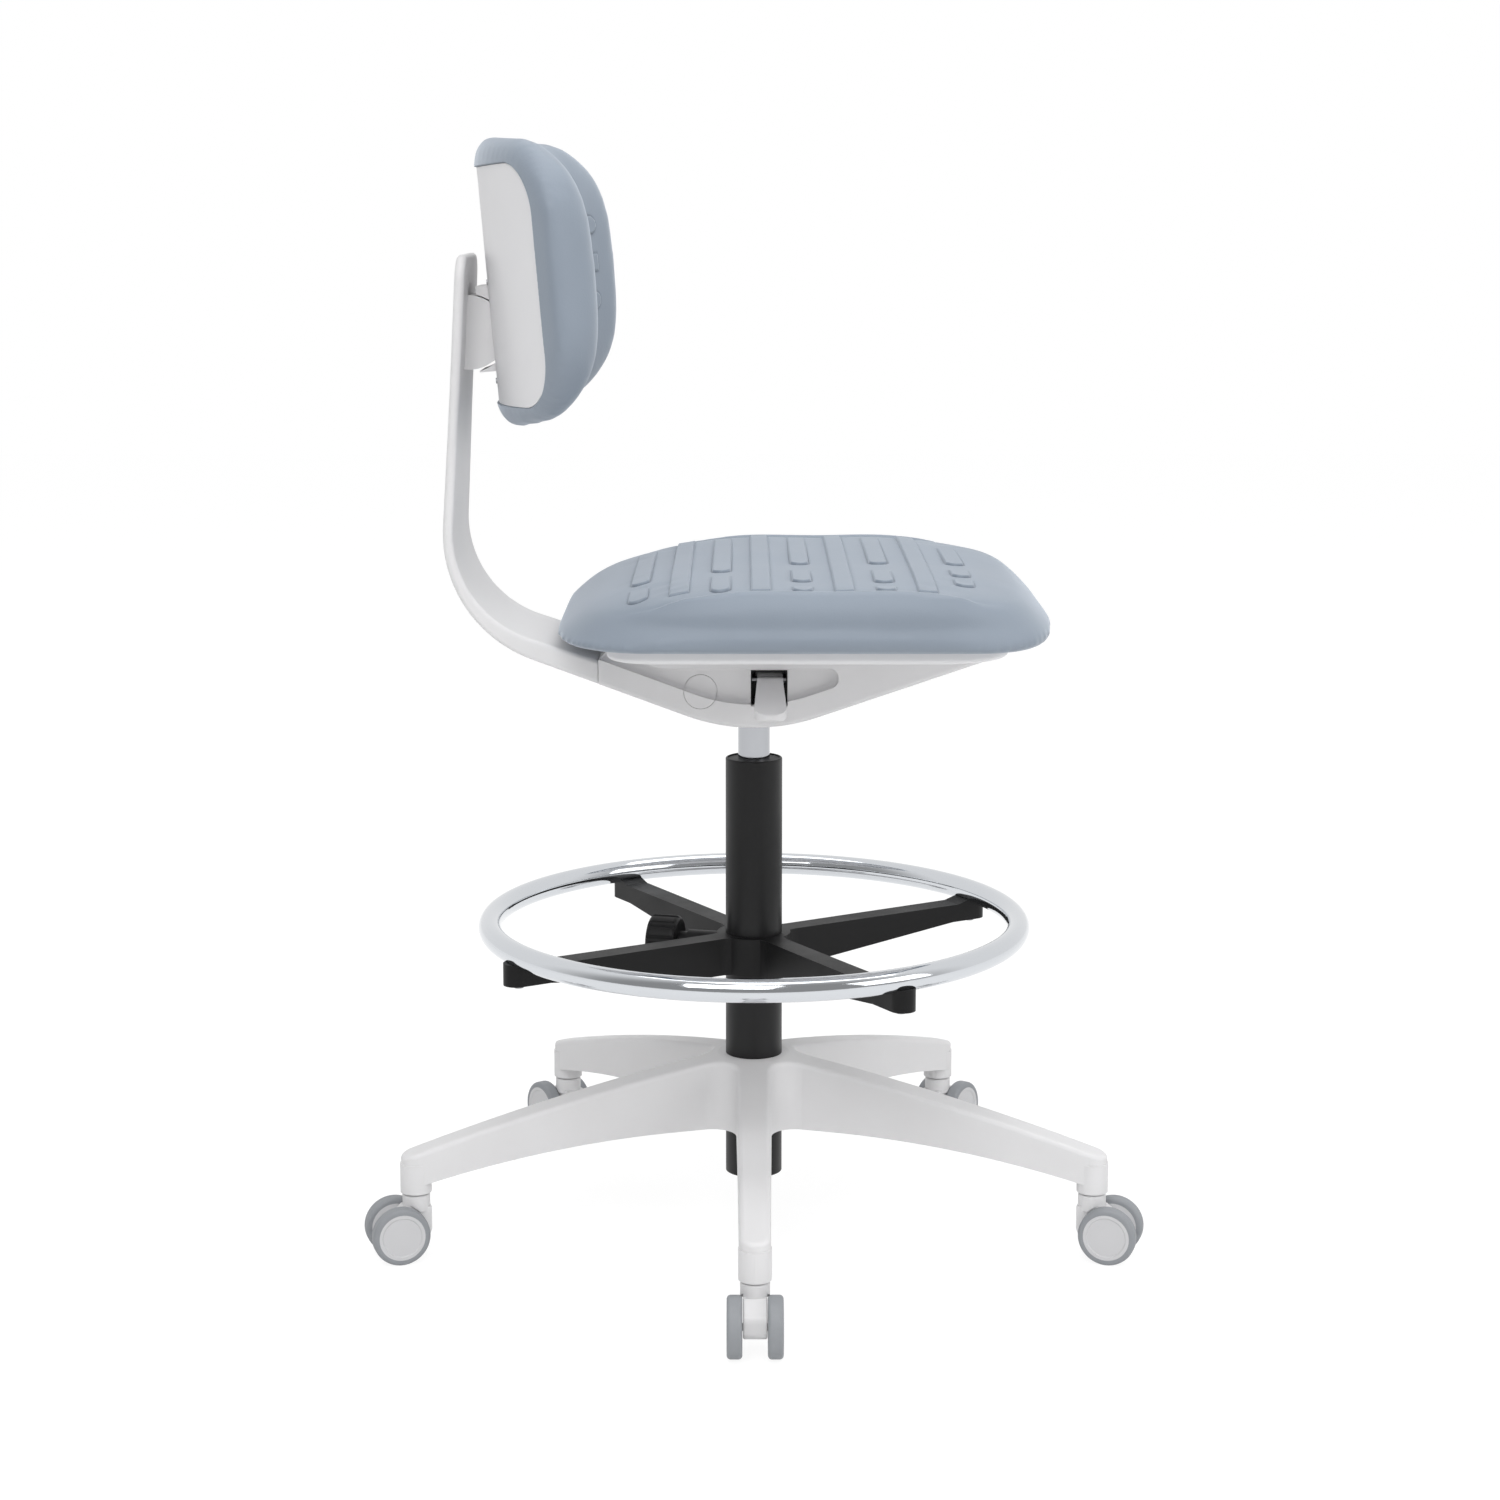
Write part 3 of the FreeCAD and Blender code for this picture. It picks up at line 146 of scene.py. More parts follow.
# moulded rubber of the recline bushes, hidden but finished
rubberLook = {"tones": ("#1B1B1B", "#232323"), "roughness": (0.7, 0.8), "patchMm": 12.0,
              "grainMm": 0.6, "grainDepthMm": 0.02}
bushRubber = mouldedNylon("rubber, moulded", rubberLook)

# powder coat on steel tube: charcoal with orange peel, so the sheen along the tube is slightly dappled
coat = {"tones": ("#131314", "#19191A"), "roughness": (0.38, 0.48), "patchMm": 40.0,
        "peelMm": 1.6, "peelDepthMm": 0.05, "speckMm": 0.5}


def powderCoat(name, look):
    finish, tree, shader, place = startFinish(name, {"IOR": 1.5, "Specular IOR Level": 0.3})
    driftTone(tree, shader, place, look["tones"], look["roughness"], look["patchMm"])
    peel = addNode(tree, "ShaderNodeTexNoise", inputs={
        "Vector": place, "Scale": scaleForMm(look["peelMm"]), "Detail": 1.0})
    speck = addNode(tree, "ShaderNodeTexNoise", inputs={
        "Vector": place, "Scale": scaleForMm(look["speckMm"]), "Detail": 2.0})
    height = addNode(tree, "ShaderNodeMath", {"operation": "MULTIPLY_ADD"}, {
        0: speck.outputs["Fac"], 1: 0.35, 2: peel.outputs["Fac"]})
    bump = addNode(tree, "ShaderNodeBump", inputs={
        "Height": height.outputs["Value"], "Strength": 0.6, "Distance": look["peelDepthMm"] / 1000})
    tree.links.new(bump.outputs["Normal"], shader.inputs["Normal"])
    return finish


charcoalCoat = powderCoat("powder coat on steel", coat)

# bright nickel-chrome plate: near mirror, with a breath of haze
chrome = {"tone": "#D3D6DA", "roughness": (0.05, 0.11), "hazeMm": 25.0}


def chromePlate(name, look):
    finish, tree, shader, place = startFinish(name, {
        "Base Color": linearFromHex(look["tone"]), "Metallic": 1.0})
    haze = addNode(tree, "ShaderNodeTexNoise", inputs={
        "Vector": place, "Scale": scaleForMm(look["hazeMm"]), "Detail": 4.0})
    driftRoughness(tree, shader, haze, look["roughness"])
    return finish


brightChrome = chromePlate("steel, nickel-chrome plated", chrome)

# hard chrome on the ground gas lift: greyer than the bright plate, with a soft sheen down the tube
ground = {"tone": "#B4B6BA", "roughness": (0.08, 0.14), "hazeMm": 12.0}
hardChrome = chromePlate("steel, ground and hard chromed", ground)

# turned steel of pins and screws: grey metal with fine tool rings. The wave texture turns 20 radians per unit of
# its scale, so a ring is 2 pi times ringMm wide
turned = {"tones": ("#8E8F92", "#A2A3A6"), "roughness": (0.28, 0.4), "patchMm": 6.0,
          "ringMm": 0.4, "ringDepthMm": 0.02, "radiansPerScale": 20}


def turnedSteel(name, look):
    finish, tree, shader, place = startFinish(name, {"Metallic": 1.0})
    driftTone(tree, shader, place, look["tones"], look["roughness"], look["patchMm"])
    rings = addNode(tree, "ShaderNodeTexWave", {"bands_direction": "Z"}, {
        "Vector": place, "Scale": scaleForMm(look["ringMm"]) / look["radiansPerScale"], "Distortion": 0.4})
    bump = addNode(tree, "ShaderNodeBump", inputs={
        "Height": rings.outputs["Fac"], "Strength": 0.2, "Distance": look["ringDepthMm"] / 1000})
    tree.links.new(bump.outputs["Normal"], shader.inputs["Normal"])
    return finish


plainSteel = turnedSteel("steel, turned", turned)

# integral-skin polyurethane foam: blue-grey, matt, with a fine pebbled skin, soft mould flow marks, painted shade
# that darkens the grooves, and a dusty sheen that lightens it where it is seen at a low angle
skin = {"tones": ("#7F8995", "#88929E"), "grooveShade": "#5F6873", "sheenTint": "#E3EAF3", "roughness": (0.5, 0.6),
        "flowMm": 70.0, "pebbleMm": 1.7, "pebbleDepthMm": 0.12, "poreMm": 0.8}     # pebble about twice real size


def foamSkin(name, look):
    finish, tree, shader, place = startFinish(name, {
        "IOR": 1.48, "Sheen Weight": 0.6, "Sheen Roughness": 0.4,
        "Sheen Tint": linearFromHex(look["sheenTint"])})
    drift = driftTone(tree, shader, place, look["tones"], look["roughness"], look["flowMm"])
    # painted shade: the groove attribute mixes the colour towards a darker tone, standing in for the shade inside the
    # grooves
    grooveShade = addNode(tree, "ShaderNodeAttribute", {"attribute_name": "grooveShade"})
    shadedGrooves = addNode(tree, "ShaderNodeMix", {"data_type": "RGBA"}, {
        0: grooveShade.outputs["Fac"], 6: drift, 7: linearFromHex(look["grooveShade"])})
    tree.links.new(shadedGrooves.outputs[2], shader.inputs["Base Color"])
    pebble = addNode(tree, "ShaderNodeTexVoronoi", {"feature": "SMOOTH_F1"}, {
        "Vector": place, "Scale": scaleForMm(look["pebbleMm"]), "Smoothness": 0.8})
    pores = addNode(tree, "ShaderNodeTexNoise", inputs={
        "Vector": place, "Scale": scaleForMm(look["poreMm"]), "Detail": 2.0})
    height = addNode(tree, "ShaderNodeMath", {"operation": "MULTIPLY_ADD"}, {
        0: pores.outputs["Fac"], 1: 0.5, 2: pebble.outputs["Distance"]})
    bump = addNode(tree, "ShaderNodeBump", inputs={
        "Height": height.outputs["Value"], "Strength": 0.5, "Distance": look["pebbleDepthMm"] / 1000})
    tree.links.new(bump.outputs["Normal"], shader.inputs["Normal"])
    return finish


blueGreyFoam = foamSkin("polyurethane foam, integral skin", skin)
print("finishes made:", len(bpy.data.materials))

# which finish each material slot of the record takes, and the nodes that differ from their slot
slotFinish = {
    "grey_nylon": greyNylon, "white_plastic": whitePolypropylene, "black_plastic": blackNylon,
    "grey_tread": greyTread, "bush_rubber": bushRubber, "charcoal_paint": charcoalCoat,
    "chrome": brightChrome, "steel": plainSteel, "blue_grey_foam": blueGreyFoam,
}
nodeFinish = {part["node"]: slotFinish[part["material_slot"]] for part in frame["record"]["subparts"]}
nodeFinish["gas_cylinder"] = hardChrome
nodeFinish.update({name: greyPolypropylene for name in nodes if "_hub_" in name})
for name, node in nodes.items():
    node.data.materials.clear()
    node.data.materials.append(nodeFinish[name])
print("CAD nodes dressed")


# object with a new mesh, linked to the scene
def addPiece(name, points, faces):
    mesh = bpy.data.meshes.new(name)
    mesh.from_pydata(points, [], faces)
    mesh.update()
    piece = bpy.data.objects.new(name, mesh)
    bpy.context.scene.collection.objects.link(piece)
    return piece


# closed skin from a grid of rings, with the first and last rings capped to a point
def wrappedMesh(name, grid):
    rows, columns = grid.shape[:2]
    ends = np.stack([grid[0].mean(axis=0), grid[-1].mean(axis=0)])
    points = np.concatenate([grid.reshape(-1, 3), ends])
    index = np.arange(rows * columns).reshape(rows, columns)
    ahead = np.roll(index, -1, axis=1)
    quads = np.stack([index[:-1], ahead[:-1], ahead[1:], index[1:]], axis=-1).reshape(-1, 4)
    firstCap = np.stack([ahead[0], index[0], np.full(columns, rows * columns)], axis=-1)
    lastCap = np.stack([index[-1], ahead[-1], np.full(columns, rows * columns + 1)], axis=-1)
    return addPiece(name, points.tolist(), quads.tolist() + firstCap.tolist() + lastCap.tolist())


# one vector of each vertex or face
def readVectors(items, key):
    flat = np.empty(len(items) * 3, np.float32)
    items.foreach_get(key, flat)
    return flat.reshape(-1, 3).astype(float)


def writePoints(mesh, points):
    mesh.vertices.foreach_set("co", points.astype(np.float32).ravel())
    mesh.update()


# replaces a piece's mesh by what its modifiers give
def bakeModifiers(piece):
    graph = bpy.context.evaluated_depsgraph_get()
    baked = bpy.data.meshes.new_from_object(piece.evaluated_get(graph))
    piece.modifiers.clear()
    piece.data = baked


# 0 below low, 1 above high, smooth between
def smoothRise(value, low, high):
    share = np.clip((value - low) / (high - low), 0.0, 1.0)
    return share * share * (3.0 - 2.0 * share)


# foam swells in its mould: even voxel skin, then a short pressure run with the seated side pinned and each point's
# movement capped, then smoothing and one subdivision
def swellFoam(piece, look, pinned):
    evenSkin = piece.modifiers.new("evenSkin", "REMESH")
    evenSkin.mode = "VOXEL"
    evenSkin.voxel_size = look["voxel"]
    bakeModifiers(piece)
    start = readVectors(piece.data.vertices, "co")
    seated = piece.vertex_groups.new(name="seated")
    seated.add(np.flatnonzero(pinned(start)).tolist(), 1.0, "REPLACE")
    cloth = piece.modifiers.new("moulding", "CLOTH")
    cloth.settings.use_pressure = True
    cloth.settings.uniform_pressure_force = look["pressure"]
    cloth.settings.vertex_group_mass = "seated"
    cloth.settings.effector_weights.gravity = 0.0
    cloth.point_cache.frame_start = 1
    cloth.point_cache.frame_end = look["frames"]
    for step in range(1, look["frames"] + 1):
        bpy.context.scene.frame_set(step)
    graph = bpy.context.evaluated_depsgraph_get()
    moved = readVectors(piece.evaluated_get(graph).data.vertices, "co") - start
    length = np.linalg.norm(moved, axis=1, keepdims=True)
    moved *= np.minimum(1.0, look["cap"] / np.maximum(length, 1e-9))
    piece.modifiers.clear()
    piece.vertex_groups.clear()
    writePoints(piece.data, start + moved)
    bpy.context.scene.frame_set(1)
    relax = piece.modifiers.new("relax", "SMOOTH")
    relax.factor = 0.5
    relax.iterations = look["relax"]
    finer = piece.modifiers.new("finer", "SUBSURF")
    finer.levels = finer.render_levels = 1
    bakeModifiers(piece)


# cuts the picked faces in four, edge by edge in a set order
def splitFaces(piece, picked):
    work = bmesh.new()
    work.from_mesh(piece.data)
    work.faces.ensure_lookup_table()
    edges = dict.fromkeys(edge for index in np.flatnonzero(picked) for edge in work.faces[index].edges)
    bmesh.ops.subdivide_edges(work, edges=list(edges), cuts=1, use_grid_fill=True)
    work.to_mesh(piece.data)
    work.free()


# what the relief of both cushions shares. grooveClear and splitShare are shares of a rib's height
reliefLook = {"padWidth": 0.0155, "edge": 0.0013, "innerShare": 0.35, "tipFlat": 0.85,
              "grooveClear": (0.3, 0.9), "splitShare": 0.15}


# relief of a moulded face over its channels: across runs over the rows of pads, along runs towards their round
# ends. A rib is a straight bar about the middle. A pad rises from its inner end to its full height at its round
# end. Each stands in a fine groove, a bell curve of the distance from its foot. Gives the height and the share of
# the groove
def padRelief(across, along, look):
    height = np.zeros(len(across))
    groove = np.zeros(len(across))
    half = look["padWidth"] / 2
    edge = look["edge"]
    for centre, ribReach in look["ribs"].items():
        inside = np.minimum(half - np.abs(across - centre), ribReach - np.abs(along))
        height = np.maximum(height, look["ribHeight"] * smoothRise(inside, -edge / 2, edge / 2))
        bell = np.exp(-((inside + edge / 2) / look["grooveHalf"]) ** 2)
        groove = np.maximum(groove, look["ribGroove"] * bell)
    for centre, pads in look["pads"].items():
        offset = np.abs(across - centre)
        for inner, outer in pads:
            tip = np.maximum(along - (outer - half), 0.0)
            inside = half - np.hypot(offset, tip * look["tipFlat"])
            started = smoothRise(along, inner, inner + edge * 2)
            climb = np.clip((along - inner) / (outer - inner), 0.0, 1.0)
            full = look["padHeight"] * (look["innerShare"] + (1 - look["innerShare"]) * climb)
            height = np.maximum(height, full * started * smoothRise(inside, -edge / 2, edge / 2))
            bell = np.exp(-((inside + edge / 2) / look["grooveHalf"]) ** 2)
            groove = np.maximum(groove, started * climb ** 0.5 * bell)
    clear = [look["ribHeight"] * share for share in look["grooveClear"]]
    groove = groove * (1 - smoothRise(height, *clear))
    return height - look["grooveDepth"] * groove, groove


# splits the faces where the relief changes within a step of their middle, so that the pads' edges stay crisp
def sharpenRelief(piece, step, look, placeFaces):
    across, along, inField = placeFaces(readVectors(piece.data.polygons, "center"))
    around = [padRelief(across + a * step, along + b * step, look)[0] for a in (-1, 0, 1) for b in (-1, 0, 1)]
    changes = np.ptp(np.stack(around), axis=0) > look["ribHeight"] * look["splitShare"]
    splitFaces(piece, changes & inField)


# groove shares as a point attribute, which the foam's finish turns into painted shade in the grooves
def markGrooveShade(mesh, groove):
    grooveShade = mesh.attributes.new("grooveShade", "FLOAT", "POINT")
    grooveShade.data.foreach_set("value", groove.astype(np.float32))


# turn round each ring, and run from the first ring at -1 to the last at 1
def ringGrid(look):
    turn = np.linspace(0, 2 * np.pi, look["ringPoints"], endpoint=False)
    return np.meshgrid(turn, np.linspace(-1, 1, look["rings"]))


# power of the size, with the sign kept
def signedPower(value, power):
    return np.sign(value) * np.abs(value) ** power


# seat cushion: a loaf on a flat base. Its plan is a rounded square about the crest, |x|^n + |y|^n = 1. A section runs
# from the crest down to both ends as a smooth curve through the shares of the height in fall, loses more height at
# the plan's corners, and tucks under as a quarter ellipse. Both sides roll over and under as quarter ellipses, and the
# roll over starts further in towards the ends
seat = {
    "rear": -0.1695, "front": 0.2525, "crest": 0.062, "halfWidth": 0.2212,
    "rings": 121, "ringPoints": 180, "tipShare": 0.999, "endSpread": 0.6,
    "floor": 0.5453, "edge": 0.5600, "crown": 0.5995, "squareness": 4.9,
    "sideFall": 0.0035, "sideFallPower": 4, "rollStart": 0.92,
    "frontFall": ((0.0, 0.26), (0.010, 0.47), (0.022, 0.68), (0.048, 0.885), (0.096, 0.985), (0.19, 1.0)),
    "rearFall": ((0.0, 0.14), (0.008, 0.275), (0.017, 0.415), (0.030, 0.57), (0.070, 0.84), (0.115, 0.96),
                 (0.23, 1.0)),
    "cornerDrop": 0.15, "cornerPower": 6.5, "tuck": 0.012,
    "endRoll": 0.7, "endRollPower": 8.0, "leastStart": 0.3,
    "swellRoom": 0.0008, "voxel": 0.0050, "pressure": 4.0, "frames": 20, "cap": 0.0010, "relax": 3,
    "pinnedRise": 0.004, "sharpenSteps": (0.0026, 0.0013), "facing": (0.6, 0.8),
    "coveAt": 0.5675, "coveHalf": 0.0075, "coveDepth": 0.0032, "coveFacing": (0.4, 0.7),
    "coveRear": -0.135, "coveFront": 0.225, "coveFade": 0.06,
    "beadAt": 0.2045, "beadHalf": 0.006, "beadRise": 0.0012,
    "fieldRear": -0.146, "fieldFront": 0.226, "fieldHalf": 0.1985, "fieldDepth": 0.0021,
    "fieldFade": 0.003, "fieldEndFade": 0.05, "fieldLeast": 0.1,
    "relief": {
        **reliefLook, "ribHeight": 0.0017, "padHeight": 0.0020,
        "grooveDepth": 0.0010, "grooveHalf": 0.0008, "ribGroove": 0.55,
        "ribs": {-0.062: 0.178, 0.005: 0.193, 0.073: 0.193, 0.141: 0.190},
        "pads": {-0.096: ((-0.13, 0.102), (0.122, 0.172)), -0.028: ((-0.17, 0.085), (0.111, 0.188)),
                 0.039: ((-0.18, 0.036), (0.076, 0.147), (0.173, 0.192)),
                 0.107: ((-0.18, 0.035), (0.077, 0.152), (0.173, 0.192)),
                 0.174: ((-0.10, 0.025), (0.060, 0.103), (0.118, 0.150))}},
}


# smooth curve through rows of place and value: cubic between neighbours, with the slope of the chord over each
def smoothCurve(place, rows):
    at, value = np.array(rows).T
    slope = np.gradient(value, at)
    slope[-1] = 0.0
    index = np.clip(np.searchsorted(at, place) - 1, 0, len(at) - 2)
    width = at[index + 1] - at[index]
    t = np.clip((place - at[index]) / width, 0.0, 1.0)
    return ((1 + 2 * t) * (1 - t) ** 2 * value[index] + t * (1 - t) ** 2 * width * slope[index]
            + t * t * (3 - 2 * t) * value[index + 1] - t * t * (1 - t) * width * slope[index + 1])


def seatSurface(look):
    room = look["swellRoom"]
    turn, run = ringGrid(look)
    share = np.sin(run * np.pi / 2) * look["tipShare"]
    plan = (1 - np.abs(share) ** look["squareness"]) ** (1 / look["squareness"])
    along = signedPower(np.cos(turn), look["endSpread"])
    earlier = look["endRoll"] * np.abs(along) ** look["endRollPower"]
    starts = np.maximum(look["leastStart"], look["rollStart"] - earlier)
    over, below = (np.sqrt(1 - np.clip((np.abs(share) - start) / (1 - start), 0, 1) ** 2)
                   for start in (starts, look["rollStart"]))
    length = np.where(along > 0, look["front"] - look["crest"], look["crest"] - look["rear"]) - room
    fromEnd = (1 - np.abs(along)) * length
    fall = np.where(along > 0, smoothCurve(fromEnd, look["frontFall"]), smoothCurve(fromEnd, look["rearFall"]))
    rolled = np.minimum(np.abs(share), look["rollStart"])
    left = 1 - look["cornerDrop"] * (np.abs(along) * rolled) ** look["cornerPower"]
    leftEnd = 1 - look["cornerDrop"] * rolled ** look["cornerPower"]
    low = look["edge"] - (look["edge"] - look["floor"]) * below
    sideFall = look["sideFall"] * share ** look["sideFallPower"]
    high = look["edge"] + (look["crown"] - room - sideFall - look["edge"]) * over
    end = (high - low) * leftEnd * np.where(along > 0, look["frontFall"][0][1], look["rearFall"][0][1])
    under = 1 - np.sqrt(1 - np.clip(1 - fromEnd / look["tuck"], 0, 1) ** 2)
    z = low + np.where(np.sin(turn) >= 0, (high - low) * fall * left, end * under)
    return np.stack([look["crest"] + length * plan * along, share * (look["halfWidth"] - room), z], axis=-1)


# a shallow cove along both sides, as deep as the bell curve of the height about its middle line
def seatCove(points, normals, look):
    bell = np.exp(-((points[:, 2] - look["coveAt"]) / look["coveHalf"]) ** 2)
    run = (smoothRise(points[:, 0] - look["coveRear"], 0.0, look["coveFade"])
           * smoothRise(look["coveFront"] - points[:, 0], 0.0, look["coveFade"]))
    facing = smoothRise(np.abs(normals[:, 1]), *look["coveFacing"])
    return look["coveDepth"] * bell * run * facing * np.sign(points[:, 1])


# share of the sunk field that the channels lie in, so that the pads' tops come flush with the smooth border
def seatField(points, look):
    ends = np.minimum(points[:, 0] - look["fieldRear"], look["fieldFront"] - points[:, 0])
    sides = look["fieldHalf"] - np.abs(points[:, 1])
    fade = look["fieldFade"] / 2
    return smoothRise(ends, 0.0, look["fieldEndFade"]) * smoothRise(sides, -fade, fade)


def seatFaces(centres):
    inField = (centres[:, 2] > seat["edge"]) & (seatField(centres, seat) > seat["fieldLeast"])
    return centres[:, 0], -centres[:, 1], inField


seatPiece = wrappedMesh("seatCushion", seatSurface(seat))
swellFoam(seatPiece, seat, lambda points: points[:, 2] < seat["floor"] + seat["pinnedRise"])
for step in seat["sharpenSteps"]:
    sharpenRelief(seatPiece, step, seat["relief"], seatFaces)
points = readVectors(seatPiece.data.vertices, "co")
normals = readVectors(seatPiece.data.vertices, "normal")
facing = smoothRise(normals[:, 2], *seat["facing"])
points[:, 1] -= seatCove(points, normals, seat)
bead = np.exp(-((np.abs(points[:, 1]) - seat["beadAt"]) / seat["beadHalf"]) ** 2)
relief, groove = padRelief(points[:, 0], -points[:, 1], seat["relief"])
field = facing * seatField(points, seat)
points[:, 2] += facing * seat["beadRise"] * bead + field * (relief - seat["fieldDepth"])
points[:, 2] = np.maximum(points[:, 2], seat["floor"])
# painted shade: the groove shares go to the foam's finish, which darkens the seat's grooves with them
markGrooveShade(seatPiece.data, field * groove)
writePoints(seatPiece.data, points)
seatPiece.data.shade_smooth()
seatPiece.data.materials.append(blueGreyFoam)
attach(seatPiece, "seat")
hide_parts("seat_cushion")
print("seat cushion made,", len(seatPiece.data.polygons), "faces")

# backrest cushion, made upright about the hinge axis: sections in planes through the axis of the shell's curve,
# each a closed loop with a rounded front and a lip that wraps behind the shell
back = {
    "hinge": (-0.236, 0.0, 0.797), "lean": 4.9, "shellRear": 0.0107, "shellRadius": 0.345, "shellThickness": 0.005,
    "shellHalfWidth": 0.192, "shellLow": -0.060, "shellHigh": 0.139, "shellCorner": 0.045,
    "rings": 141, "ringPoints": 160, "tipShare": 0.998, "endSpread": 0.7,
    "low": -0.0838, "high": 0.1658, "halfWidth": 0.2148, "corner": 0.062, "depth": 0.0485, "rear": 0.0035,
    "rimRadius": 0.024, "rimShare": 0.35, "wingRise": 0.019, "wingFall": 0.013,
    "frontPower": 3.2, "rearPower": 9.0, "widest": 0.30,
    "seatGap": 0.0003, "lipRise": 0.0045, "lipReach": 0.010, "lipSplits": (0.007, 0.005), "lipShare": 0.4,
    "flangeHalfWidth": 0.0405, "flangeHalfHeight": 0.0485, "flangeDepth": 0.0125,
    "voxel": 0.0050, "pressure": 4.0, "frames": 20, "cap": 0.0012, "relax": 8,
    "pinnedDepth": 0.001, "sharpenStep": 0.0020, "facing": (0.35, 0.6), "rearFacing": 0.3,
    "fieldEnd": 0.186, "fieldFade": 0.006, "fieldShare": 0.6,
    "relief": {
        **reliefLook, "ribHeight": 0.0015, "padHeight": 0.0017,
        "grooveDepth": 0.0007, "grooveHalf": 0.0009, "ribGroove": 0.7,
        "ribs": {-0.020: 0.160, 0.048: 0.1705, 0.116: 0.150},
        "pads": {-0.054: ((-0.05, 0.050), (0.075, 0.130)), 0.014: ((-0.05, 0.075), (0.100, 0.1685)),
                 0.082: ((-0.05, 0.040), (0.065, 0.120), (0.138, 0.1715))}},
}


# turns vectors about the cross axis, tipping their tops to the rear
def tipped(vectors, degrees):
    turn = math.radians(degrees)
    x, y, z = vectors[..., 0], vectors[..., 1], vectors[..., 2]
    rearward = x * math.cos(turn) - z * math.sin(turn)
    return np.stack([rearward, y, x * math.sin(turn) + z * math.cos(turn)], axis=-1)


# inward is the depth ahead of the shell's rear face, across the distance from the middle, z the height
def backPoint(inward, across, z, look):
    turn = np.arcsin(across / (look["shellRadius"] + look["rear"]))
    radius = look["shellRadius"] - inward
    ahead = look["shellRear"] + look["shellRadius"] - radius * np.cos(turn)
    upright = np.stack([ahead, radius * np.sin(turn), z], axis=-1)
    return tipped(upright, look["lean"]) + np.array(look["hinge"])


def backSurface(look):
    turn, run = ringGrid(look)
    across = np.sin(run * np.pi / 2) * look["halfWidth"] * look["tipShare"]
    side = np.abs(across) / look["halfWidth"]
    margin = look["halfWidth"] - np.abs(across)
    bend = np.maximum(0.0, look["corner"] - margin)
    inset = look["corner"] - np.sqrt(look["corner"] ** 2 - bend ** 2)
    thin = np.maximum(0.0, 1 - margin / look["rimRadius"])
    depth = look["depth"] * (look["rimShare"] + (1 - look["rimShare"]) * np.sqrt(1 - thin ** 2))
    low = look["low"] + inset + look["wingRise"] * side ** 2
    high = look["high"] - inset - look["wingFall"] * side ** 2
    up = signedPower(np.sin(turn), look["endSpread"])
    z = (low + high) / 2 + (high - low) / 2 * up
    widest = depth * look["widest"]
    front = widest + (depth - widest) * (1 - np.abs(up) ** look["frontPower"]) ** 0.5
    rear = widest - (widest + look["rear"]) * (1 - np.abs(up) ** look["rearPower"]) ** 0.5
    return backPoint(np.where(np.cos(turn) >= 0, front, rear), across, z, look)


# the other way: inward, across, sideways and height of points in place
def backDepth(points, look):
    upright = tipped(points - np.array(look["hinge"]), -look["lean"])
    x = upright[:, 0] - look["shellRear"] - look["shellRadius"]
    turn = np.arctan2(upright[:, 1], -x)
    across = (look["shellRadius"] + look["rear"]) * np.sin(turn)
    return look["shellRadius"] - np.hypot(x, upright[:, 1]), across, upright[:, 1], upright[:, 2]


# distance outside the shell's rounded outline, negative inside
def outsideShell(across, z, look):
    middle = (look["shellLow"] + look["shellHigh"]) / 2
    corner = look["shellCorner"]
    dx = np.abs(across) - (look["shellHalfWidth"] - corner)
    dz = np.abs(z - middle) - ((look["shellHigh"] - look["shellLow"]) / 2 - corner)
    return np.hypot(np.maximum(dx, 0), np.maximum(dz, 0)) + np.minimum(np.maximum(dx, dz), 0) - corner


def backFaces(centres):
    inward, across, sideways, height = backDepth(centres, back)
    inField = (inward > back["depth"] * back["fieldShare"]) & (np.abs(across) < back["fieldEnd"])
    return height, np.abs(across), inField


backPiece = wrappedMesh("backrestCushion", backSurface(back))
swellFoam(backPiece, back, lambda points: backDepth(points, back)[0] < back["pinnedDepth"])
sharpenRelief(backPiece, back["sharpenStep"], back["relief"], backFaces)
for reach in back["lipSplits"]:
    inward, across, sideways, height = backDepth(readVectors(backPiece.data.polygons, "center"), back)
    nearEdge = np.abs(outsideShell(sideways, height, back)) < reach
    splitFaces(backPiece, nearEdge & (inward < back["depth"] * back["lipShare"]))
inward, across, sideways, height = backDepth(readVectors(backPiece.data.vertices, "co"), back)
forward = tipped(readVectors(backPiece.data.vertices, "normal"), -back["lean"])[:, 0]
field = (smoothRise(forward, *back["facing"])
         * smoothRise(back["fieldEnd"] - np.abs(across), 0.0, back["fieldFade"]))
relief, groove = padRelief(height, np.abs(across), back["relief"])
inward += field * relief
# painted shade: the groove shares go to the foam's finish, which darkens the backrest's grooves with them
markGrooveShade(backPiece.data, field * groove)
# the rear is hollowed for the shell and the hinge's flange, with a lip round the shell's edge
outside = outsideShell(sideways, height, back)
bed = back["shellThickness"] + back["seatGap"]
lip = bed - (bed + back["lipReach"]) * np.sqrt(np.clip(outside / back["lipRise"], 0, 1))
hollow = np.where(outside < 0, bed, lip)
flange = (np.abs(sideways) < back["flangeHalfWidth"]) & (np.abs(height) < back["flangeHalfHeight"])
hollow = np.where(flange, back["flangeDepth"], hollow)
hollowed = (forward < back["rearFacing"]) & (outside < back["lipRise"])
inward = np.where(hollowed, np.maximum(inward, hollow), inward)
writePoints(backPiece.data, backPoint(inward, across, height, back))
backPiece.data.shade_smooth()
backPiece.data.materials.append(blueGreyFoam)
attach(backPiece, "backrest")
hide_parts("backrest_cushion")
print("backrest cushion made,", len(backPiece.data.polygons), "faces")
